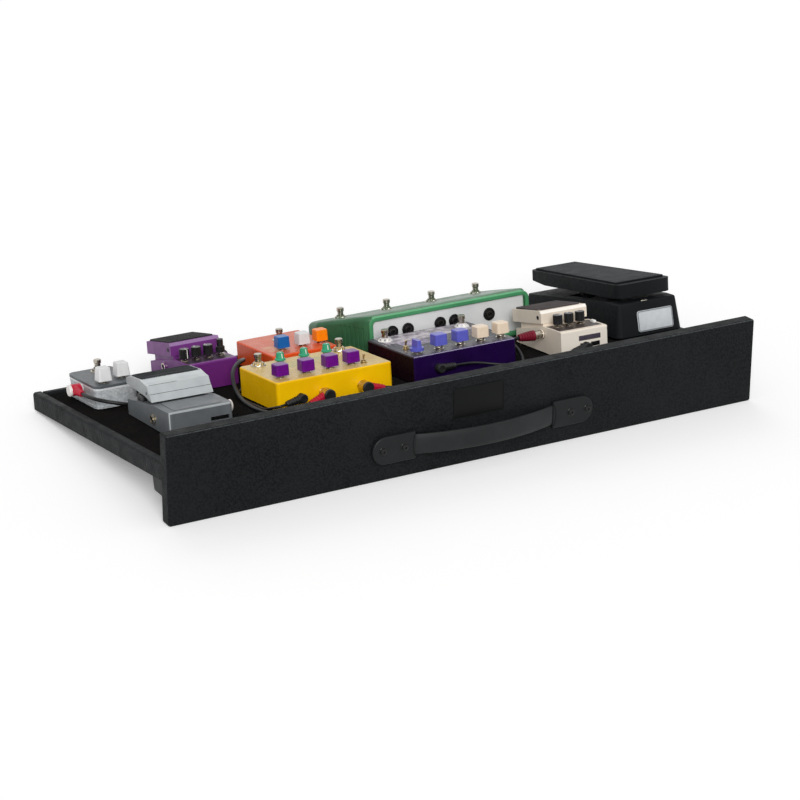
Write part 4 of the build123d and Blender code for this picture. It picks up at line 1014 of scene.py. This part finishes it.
knobSpots = {                # x and v on each pedal
    "mini": [(20.3, 19.4), (51.3, 30.4)],
    "orange": [(29.8, 31.0), (62.0, 31.0), (90.2, 31.0)],
    "yellow": [(x, 26.3) for x in (19.0, 57.5, 93.5, 126.0)] + [(x, 98.0) for x in (55.0, 91.2, 126.0)],
    "violet": [(17.1, 18.5)],
    "purple": [(x, 28.3) for x in (8.4, 26.4, 44.6, 63.2)],
    "cream": [(x, 35.0) for x in (15.5, 33.5, 51.5)],
}
tallKnobSpots = {"violet": [(x, 18.5) for x in (52.1, 86.1, 118.8, 151.6)]}
switchSpots = {
    "mini": [(39.0, 84.0)],
    "orange": [(51.5, 82.0)],
    "yellow": [(24.5, 104.0), (149.0, 104.0)],
    "green": [(x, 105.0) for x in (47.0, 123.5, 199.2, 275.2)],
}
whiteSwitchSpots = {"violet": [(17.6, 109.0), (142.6, 109.0)]}
toggleSpots = {"yellow": [(140.5, 18.3)], "violet": [(15.6, 47.0)]}


def roundGreenShell():
    # the shell again, with its moulded top edges rounded off
    look = {"round": 7.0, "steps": 5, "seatClear": 20.0}
    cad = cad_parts["green_case"]
    bm = bmesh.new()
    bm.from_mesh(cad.data)
    bmesh.ops.remove_doubles(bm, verts=bm.verts, dist=0.00001)
    bmesh.ops.dissolve_limit(bm, angle_limit=math.radians(0.6), verts=bm.verts, edges=bm.edges)
    toPedal = onPedal("green").inverted()
    seats = [Vector((x, v, 0)) for x, v in switchSpots["green"]]
    front, run, fall, high = greenTop.values()
    rimEdges = []
    for edge in bm.edges:
        if len(edge.link_faces) != 2:
            continue
        tilts = sorted(abs((toPedal.to_quaternion() @ face.normal).z) for face in edge.link_faces)
        ends = [toPedal @ vertex.co for vertex in edge.verts]
        rises = [end.z + max(end.y - front, 0.0) * fall / run for end in ends]
        flat = [Vector((end.x, end.y, 0)) for end in ends]
        # edges between the sloping top and a wall, away from the front and the switches
        onTop = tilts[0] <= 0.2 and tilts[1] >= 0.9 and max(abs(rise - high) for rise in rises) <= 0.06
        fromSeats = min((point - seat).length for point in flat for seat in seats)
        if onTop and max(end.y for end in ends) >= 0.5 and fromSeats >= look["seatClear"]:
            rimEdges.append(edge)
    bmesh.ops.bevel(bm, geom=rimEdges, offset=look["round"] * millimetre, segments=look["steps"], profile=0.5,
                    affect="EDGES", offset_type="OFFSET", clamp_overlap=False, loop_slide=True)
    bmesh.ops.triangulate(bm, faces=bm.faces)
    print("green shell edges rounded:", len(rimEdges))
    shell = finishPiece("greenShell", bm, [cad.material_slots[0].material], "board", 30)
    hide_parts("green_case")


roundGreenShell()


def knobNutPart(bm):
    # washer, nut and the thread's end
    lathe(bm, [(0, -0.3), (5.9, -0.3), (6.4, 0.1), (6.4, 0.5), (0, 0.5)], atOrigin, 24)
    hexPrism(bm, 10.3, 0.4, 2.35)
    lathe(bm, [(0, 2.1), (3.4, 2.1), (3.3, 2.4), (0, 2.45)], atOrigin, 20)


def switchNutPart(bm):
    # hollow, so that the plunger runs free in it
    openLathe(bm, [(5.6, -0.3), (10.3, -0.3), (10.6, 0.2), (10.3, 1.1), (5.6, 1.1)], 32)
    hexRing(bm, 14.3, 11.2, 1.0, 3.6)
    thread = [(5.5, 3.0), (6.1, 3.0)]
    for turn in range(3):
        thread += [(6.1, 3.7 + turn * 0.5), (5.8, 3.95 + turn * 0.5)]
    openLathe(bm, thread + [(5.9, 5.05), (5.7, 5.2), (5.5, 5.2)])


def jackNutPart(bm):
    # flanged nut, open in the middle
    openLathe(bm, [(3.55, -0.2), (6.9, -0.2), (6.9, 0.9), (6.2, 1.2), (5.6, 2.75), (3.9, 2.75), (3.55, 2.3)])


def tallKnobNutPart(bm):
    lathe(bm, [(0, -0.3), (6.6, -0.3), (7.2, 0.1), (7.2, 0.6), (0, 0.6)], atOrigin, 24)
    hexPrism(bm, 10.3, 0.5, 2.35)
    hexRing(bm, 8.6, 6.5, 2.3, 5.6)


def greenJackPart(bm):
    # closed, with its socket a hollow in the middle
    lathe(bm, [
        (0, -0.2), (9.3, -0.2), (9.3, 1.7), (8.7, 2.6), (7.0, 2.7), (6.6, 2.2), (5.5, 2.2), (5.1, 2.6),
        (3.8, 2.5), (3.2, 1.9), (3.0, 0.75), (0, 0.75),
    ], atOrigin, 36)


def greenJackRingPart(bm):
    openLathe(bm, [(3.5, 2.2), (5.0, 2.2), (4.8, 2.9), (3.7, 2.9)])


def jackMouthPart(bm):
    # dark socket inside a jack's nut
    lathe(bm, [(0, 0.4), (3.56, 0.4), (3.56, 2.2), (2.9, 2.3), (2.7, 1.0), (0, 1.0)], atOrigin, 24)


def togglePart(bm):
    lathe(bm, [(0, -0.2), (4.9, -0.2), (4.9, 0.5), (0, 0.5)], atOrigin, 20)
    hexPrism(bm, 8.0, 0.4, 2.4, chamfer=0.35)
    lathe(bm, [(0, 2.3), (3.25, 2.3), (3.25, 4.4), (2.7, 4.9), (0, 4.9)], atOrigin, 20)
    tilt = Matrix.Translation((0, 0, 4.2)) @ Matrix.Rotation(math.radians(14), 4, "X")
    lathe(bm, [(0, 0), (1.05, 0), (1.25, 4.0), (1.6, 7.2), (1.45, 8.6), (0.8, 9.3), (0, 9.4)], tilt, 16)


def capScrewPart(bm):
    # pan head with a hollow in it, on a cupped washer
    openLathe(bm, [(3.4, -0.2), (6.3, -0.2), (6.5, 0.4), (5.9, 1.0), (4.6, 0.7), (3.4, 0.7)])
    lathe(bm, [
        (0, -0.2), (4.6, -0.2), (4.7, 1.2), (4.2, 2.1), (3.0, 2.6), (1.7, 2.75), (1.2, 1.6), (0, 1.6),
    ], atOrigin, 28)


def spotsOn(table):
    return [onPedal(name, x, v, nutSeats[name]) for name, places in table.items() for x, v in places]


def socketSpots(places):
    return [onPedal(name, x, v, w) @ facings[facing] for name, x, v, w, facing in places]


plainSockets = [sockets[key] for key in ("miniOut", "greyIn", "purpleOut", "purpleIn", "creamOut", "creamIn")]
warmSockets = [sockets[key] for key in ("yellowIn", "yellowOut", "greyOut")]
greenSockets = [("green", 36.0 + x, 0.0, 39.5, "front") for x in (37.0, 62.5, 115.5, 139.5, 197.5)]
jackBlack = mouldedFinish("jackBlack", "0E0E0F", 0.3, 0.3)
blackScrew = mouldedFinish("blackScrew", "0C0D0D", 0.32, 0.3)
washerWhite = glossFinish("washerWhite", "F2F1EC", "E0DED6", 0.35)
for name, buildPart, spots, material, slotName in (
    ("knobNuts", knobNutPart, spotsOn(knobSpots), silverPlate, "switch_metal"),
    ("tallKnobNuts", tallKnobNutPart, spotsOn(tallKnobSpots), silverPlate, "switch_metal"),
    ("switchNuts", switchNutPart, spotsOn(switchSpots), silverPlate, "switch_metal"),
    ("whiteSwitchNuts", switchNutPart, spotsOn(whiteSwitchSpots), washerWhite, "switch_metal"),
    ("jackNuts", jackNutPart, socketSpots(plainSockets), silverPlate, "switch_metal"),
    ("warmJackNuts", jackNutPart, socketSpots(warmSockets), warmPlate, "switch_metal"),
    ("jackMouths", jackMouthPart, socketSpots(plainSockets + warmSockets), jackBlack, "plug_rubber"),
    ("greenJackRings", greenJackRingPart, socketSpots(greenSockets), darkSteel, "plug_rubber"),
    ("greenJacks", greenJackPart, socketSpots(greenSockets), jackBlack, "plug_rubber"),
    ("toggles", togglePart, spotsOn(toggleSpots), warmPlate, "switch_metal"),
):
    scatter(name, buildPart, spots, material)
print("nuts, jacks and toggles placed")


# pads, plates and marks

def sloped(pedal, x, v, w, fall=0.0):
    # place on a surface that falls by so many degrees towards the rear
    return onPedal(pedal, x, v, w) @ Matrix.Rotation(-math.radians(fall), 4, "X")


def ribbedPad(bm, place, pad, rib, first, pitch, count, up):
    # pad and rib are sizes for roundedPad; the ribs lie across it
    roundedPad(bm, place, *pad)
    for index in range(count):
        roundedPad(bm, place @ Matrix.Translation((0, first + index * pitch, up)), *rib)


def treadlePads():
    look = {
        "front": 67.0, "rear": 135.0, "stand": 1.6,
        "roof": 58.0, "roofFront": 55.0, "roofRun": 83.0, "roofFall": 11.5,
    }
    middle = (look["front"] + look["rear"]) / 2
    for name, material in (("purple", padRubber), ("cream", brownPad)):
        roof = look["roof"] - (middle - look["roofFront"]) * look["roofFall"] / look["roofRun"] + look["stand"]
        fall = math.degrees(math.atan2(look["roofFall"], look["roofRun"]))
        bm = bmesh.new()
        ribbedPad(bm, sloped(name, widths["compact"] / 2, middle, roof, fall),
                  (67.4, 69.6, 0.75, 2.5, 0.6, -1.9), (61.0, 2.2, 0.65, 0.8, 0.35), -29.0, 4.85, 13, 0.6)
        finishPiece(name + "TreadlePad", bm, [material], name + "_treadle")
    bm = bmesh.new()
    ribbedPad(bm, sloped("grey", widths["grey"] / 2, 116.2, 55.8, math.degrees(math.atan2(2.4, 36.5))),
              (82.0, 36.2, 1.2, 3.0, 0.8), (75.0, 2.0, 0.55, 0.8, 0.3), -7.0, 4.4, 6, 1.05)
    finishPiece("greyTreadlePad", bm, [greyPad], "grey_treadle")


greyPad = mouldedFinish("greyPad", "26292B", 0.7, 0.1, 700.0, 0.0002, "3A3D3F")
treadlePads()


def pinHeads():
    # ends of the pivot pins, sunk in the treadles' sides
    profile = [
        (0, -0.8), (1.85, -0.8), (1.85, 0.0), (2.9, 0.05), (3.0, 0.35), (2.2, 0.5), (1.7, 0.2), (0, 0.15),
    ]
    bm = bmesh.new()
    for name in ("purple", "cream"):
        for x, facing in ((-0.15, "left"), (widths["compact"] + 0.15, "right")):
            lathe(bm, profile, onPedal(name, x, 64.0, 47.5) @ facings[facing], 20)
    finishPiece("pinHeads", bm, [jackBlack], "board")


pinHeads()


def plateWithBorder(name, place, width, height, radius, rim, plain, border):
    # bare plate with a thin raised border
    thickness, margin = 0.9, 1.2
    bm = bmesh.new()
    roundedPad(bm, place, width, height, thickness, radius, 0.3)
    outer = roundedOutline(width - margin, height - margin, radius)
    inner = roundedOutline(width - margin - 2 * rim, height - margin - 2 * rim, max(radius - rim, 0.5))
    loops = []
    for outline, up in ((outer, -0.1), (outer, 0.35), (inner, 0.35), (inner, -0.1)):
        loops.append([bm.verts.new(place @ Vector((x, y, thickness + up))) for x, y in outline])
    skin(bm, loops, 1, "joined")
    finishPiece(name, bm, [plain, border], "board", 40)


badgeBlack = mouldedFinish("badgeBlack", "0A0B0B", 0.4, 0.12, 900.0, 0.00006, "101211")
badgeEdge = mouldedFinish("badgeEdge", "070808", 0.4, 0.15, 900.0, 0.00006, "0C0D0D")
plateWithBorder("wallBadge", onWall(444.2, 86.0), 77.5, 42.0, 2.0, 1.0, badgeBlack, badgeEdge)
print("pads and plates placed")


# wah, strap and the smaller trims

wahLook = {
    "toe": 26.0, "heel": 259.0, "left": 16.0, "right": 97.0, "taper": 6.0,      # the pad
    "ribs": 17, "border": 3.2, "sink": 5.0, "base": 2.2, "rise": 0.9,
    "front": 12.0, "run": 258.0, "high": 75.0, "fall": 20.0,                    # the rocker's top
}


def wahBar(bm, share, shareEnd, start, end):
    # one bar of the pad, between two shares of its width and two depths
    look = wahLook
    place = onPedal("wah")
    corners = []
    for v in (start, end):
        inset = look["taper"] * (v - look["front"]) / look["run"]
        span = look["right"] - look["left"] - 2 * inset
        low = look["left"] + inset
        corners.append([(low + span * share, v), (low + span * shareEnd, v)])
    (a, b), (d, c) = corners
    top = look["base"] + look["rise"]
    rings = []
    for up, draw in ((look["base"], 0.0), (top - 0.3, 0.0), (top, 0.35)):
        ring = []
        for (x, v), sideways, along in ((a, 1, 1), (b, -1, 1), (c, -1, -1), (d, 1, -1)):
            surface = look["high"] - (v - look["front"]) * look["fall"] / look["run"] + up
            ring.append(bm.verts.new(place @ Vector((x + draw * sideways, v + draw * along, surface))))
        rings.append(ring)
    skin(bm, rings)


def wahPadRibs():
    # long ribs that close up towards the heel, inside a plain border
    toe, heel, border, sink = [wahLook[key] for key in ("toe", "heel", "border", "sink")]
    first, last = 0.055, 0.945
    pitch = (last - first) / wahLook["ribs"]
    bm = bmesh.new()
    for index in range(wahLook["ribs"]):
        start = first + pitch * index
        wahBar(bm, start + pitch * 0.14, start + pitch * 0.86, toe + sink, heel - sink)
    for share, shareEnd, start, end in (
        (0.0, 0.04, toe, heel), (0.96, 1.0, toe, heel),
        (0.045, 0.955, toe, toe + border), (0.045, 0.955, heel - border, heel),
    ):
        wahBar(bm, share, shareEnd, start, end)
    finishPiece("wahPadRibs", bm, [wahPad], "wah_rocker")


wahPad = mouldedFinish("wahPad", "2A2D2F", 0.6, 0.15, 600.0, 0.00025, "383B3D")
wahPadRibs()
plateLight = glossFinish("plateLight", "C9CDD0", "B4B9BC", 0.35)
plateRim = glossFinish("plateRim", "7B8084", "6A6F73", 0.35)
wahPlate = {"x": 66.5, "up": 19.5, "lean": math.radians(8.5)}
platePlace = onPedal("wah", wahPlate["x"], math.tan(wahPlate["lean"]) * wahPlate["up"], wahPlate["up"])
platePlace = platePlace @ facings["front"] @ Matrix.Rotation(-wahPlate["lean"], 4, "X")
plateWithBorder("wahPlate", platePlace, 60.0, 30.5, 4.0, 1.3, plateLight, plateRim)


def wahLatch():
    bm = bmesh.new()
    place = onPedal("wah", 52.7, 10.6, 47.9)
    roundedPad(bm, place, 11.0, 4.4, 0.7, 2.0, 0.25)
    stud = [(0, 0.4), (1.9, 0.4), (1.9, 0.9), (1.3, 1.3), (0, 1.4)]
    lathe(bm, stud, place @ Matrix.Translation((-2.4, 0, 0)), 18)
    finishPiece("wahLatch", bm, [silverPlate], "board")


wahLatch()
strapLook = {
    "middle": 451.5, "height": 43.5,             # its place on the wall
    "half": 113.0, "width": 28.0, "thick": 4.4, "gap": 0.3, "steps": 64, "round": 2.1, "crown": 1.7,
    "bow": 17.0, "bowHalf": 106.0, "flatFrom": 104.0,
}


def strapBow(x):
    # how far the strap stands off the wall at x from its middle
    half, bow = strapLook["bowHalf"], strapLook["bow"]
    radius = (half * half + bow * bow) / (2 * bow)
    if abs(x) >= half:
        return 0.0
    return math.sqrt(radius * radius - x * x) - (radius - bow)


def makeStrap():
    # round-edged rubber strap with a crowned face
    look = strapLook
    halfWidth, thick, radius = look["width"] / 2, look["thick"], look["round"]
    section = []
    for centreY, centreZ, start in (
        (thick - radius, halfWidth - radius, 0), (radius, halfWidth - radius, 90),
        (radius, -(halfWidth - radius), 180), (thick - radius, -(halfWidth - radius), 270),
    ):
        for step in range(6):
            turn = math.radians(start + 90 * step / 5)
            section.append((centreY + radius * math.cos(turn), centreZ + radius * math.sin(turn)))
    for share in (-0.75, -0.5, -0.25, 0.0, 0.25, 0.5, 0.75):
        section.append((thick + look["crown"] * (1 - share * share), share * halfWidth))
    bm = bmesh.new()
    rings = []
    for step in range(look["steps"] + 1):
        x = -look["half"] + 2 * look["half"] * step / look["steps"]
        out = strapBow(x) + look["gap"]
        ring = []
        for y, z in section:
            stand = min(y, thick) if abs(x) > look["flatFrom"] else y
            place = onWall(look["middle"] + x, look["height"] + z, out + stand)
            ring.append(bm.verts.new(place.to_translation()))
        rings.append(ring)
    skin(bm, rings)
    strap = finishPiece("strap", bm, [strapRubber], "board", 40)
    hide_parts("handle_strap")


makeStrap()


def capSeams():
    # bowed gaps where the caps' covers meet the strap's
    half, bow, gap, steps = 14.6, 2.6, 0.7, 12
    bm = bmesh.new()
    for x, side in ((344.0, -1), (559.0, 1)):
        outline = []
        for edge, order in ((-gap, 1), (gap, -1)):
            for step in range(steps + 1)[::order]:
                z = -half + 2 * half * step / steps
                outline.append((edge + side * bow * (1 - (z / half) ** 2), z))
        rings = []
        for out in (5.6, 6.75):
            places = [onWall(x + u, strapLook["height"] + z, out) for u, z in outline]
            rings.append([bm.verts.new(place.to_translation()) for place in places])
        skin(bm, rings, ends="open")
        last = len(outline) - 1
        for step in range(steps):
            for ring, flip in ((rings[0], 1), (rings[1], -1)):
                bm.faces.new((ring[step], ring[step + 1], ring[last - 1 - step], ring[last - step])[::flip])
    finishPiece("capSeams", bm, [badgeEdge], "board")


capSeams()
screwSpots = [onWall(x, strapLook["height"], 6.4) for x in (297.0, 329.0, 586.0, 612.5)]
scatter("capScrews", capScrewPart, screwSpots, blackScrew)


def flatMark(bm, place, width, depth, height=0.3, radius=0.4):
    roundedPad(bm, place, width, depth, height, min(radius, width / 2.2, depth / 2.2), 0.12, -0.2)


def greyTrims():
    middle = widths["grey"] / 2
    bm = bmesh.new()
    flatMark(bm, onPedal("grey", 71.0, 1.9, 14.75) @ facings["front"], 25.4, 5.0, 0.3, 0.6)
    roundedPad(bm, onPedal("grey", 7.5, 107.0, 25.0), 9.0, 22.0, 9.5, 2.0, 1.2)
    flatMark(bm, sloped("grey", middle, 10.6, 32.4, -0.6), 66.0, 0.7, 0.25)
    finishPiece("greyTrims", bm, [jackBlack], "board")
    bm = bmesh.new()
    flatMark(bm, onPedal("grey", middle, 66.5, 42.5), 86.6, 1.0, 0.35)
    flatMark(bm, onPedal("grey", 24.0, 73.9, 53.05), 40.0, 0.9, 0.25)
    flatMark(bm, sloped("grey", middle, 97.0, 56.7, -10.0), 84.0, 1.0, 0.3)
    finishPiece("greyTreadleLines", bm, [jackBlack], "grey_treadle")


greyTrims()


def creamTrims():
    front = facings["front"]
    bm = bmesh.new()
    flatMark(bm, onPedal("cream", 46.0, 0.0, 25.0) @ front, 35.0, 7.2, 0.35, 0.8)
    finishPiece("creamDisplay", bm, [displayGlass], "board")
    bm = bmesh.new()
    for x, up in ((37.5, 14.6), (55.0, 14.4)):
        flatMark(bm, onPedal("cream", x, 0.0, up) @ front, 14.4, 6.4, 0.3, 0.6)
    finishPiece("creamSockets", bm, [jackBlack], "board")
    bm = bmesh.new()
    roundedPad(bm, sloped("cream", 69.6, 28.6, 37.4, 1.1), 4.6, 9.5, 3.4, 1.4, 0.8)
    roundedPad(bm, sloped("cream", 63.4, 46.0, 37.0, 1.1), 3.2, 3.2, 8.0, 1.2, 0.6)
    finishPiece("creamLevers", bm, [whitePaint], "board")


displayGlass = glossFinish("displayGlass", "4A4450", "3B3642", 0.18)
creamTrims()
pointerLooks = {             # base of the grip; then how far out, how high, the lean and the line's size
    "small": {
        "base": 43.2, "side": (5.55, 6.4, 83), "sideLine": (6.6, 1.3, 0.35),
        "top": (2.0, 10.95), "topLine": (3.6, 1.3, 0.25),
    },
    "large": {
        "base": 41.4, "side": (6.75, 6.8, 90), "sideLine": (12.2, 1.2, 0.25),
        "top": (4.0, 13.6), "topLine": (4.6, 1.2, 0.25),
    },
}


def knobLines():
    # white pointer lines down the grips and over their tops, each riding with its knob
    for prefix, pedal, places, size, turns in (
        ("yellow_small_knob", "yellow", knobSpots["yellow"][4:], "small", (-88, -84, -92)),
        ("purple_knob", "purple", knobSpots["purple"], "large", (-75, 96, 120)),
        ("cream_knob", "cream", knobSpots["cream"], "large", (-15, 88, 140)),
    ):
        look = pointerLooks[size]
        out, up, tilt = look["side"]
        topOut, topUp = look["top"]
        lean = Matrix.Rotation(math.radians(tilt), 4, "Y")
        for number, ((x, v), turn) in enumerate(zip(places, turns), 1):
            bm = bmesh.new()
            place = onPedal(pedal, x, v, look["base"]) @ Matrix.Rotation(math.radians(turn), 4, "Z")
            flatMark(bm, place @ Matrix.Translation((out, 0, up)) @ lean, *look["sideLine"])
            flatMark(bm, place @ Matrix.Translation((topOut, 0, topUp)), *look["topLine"])
            finishPiece(f"{prefix}Line{number}", bm, [whitePaint], f"{prefix}_{number}")


knobLines()
print("trims placed")
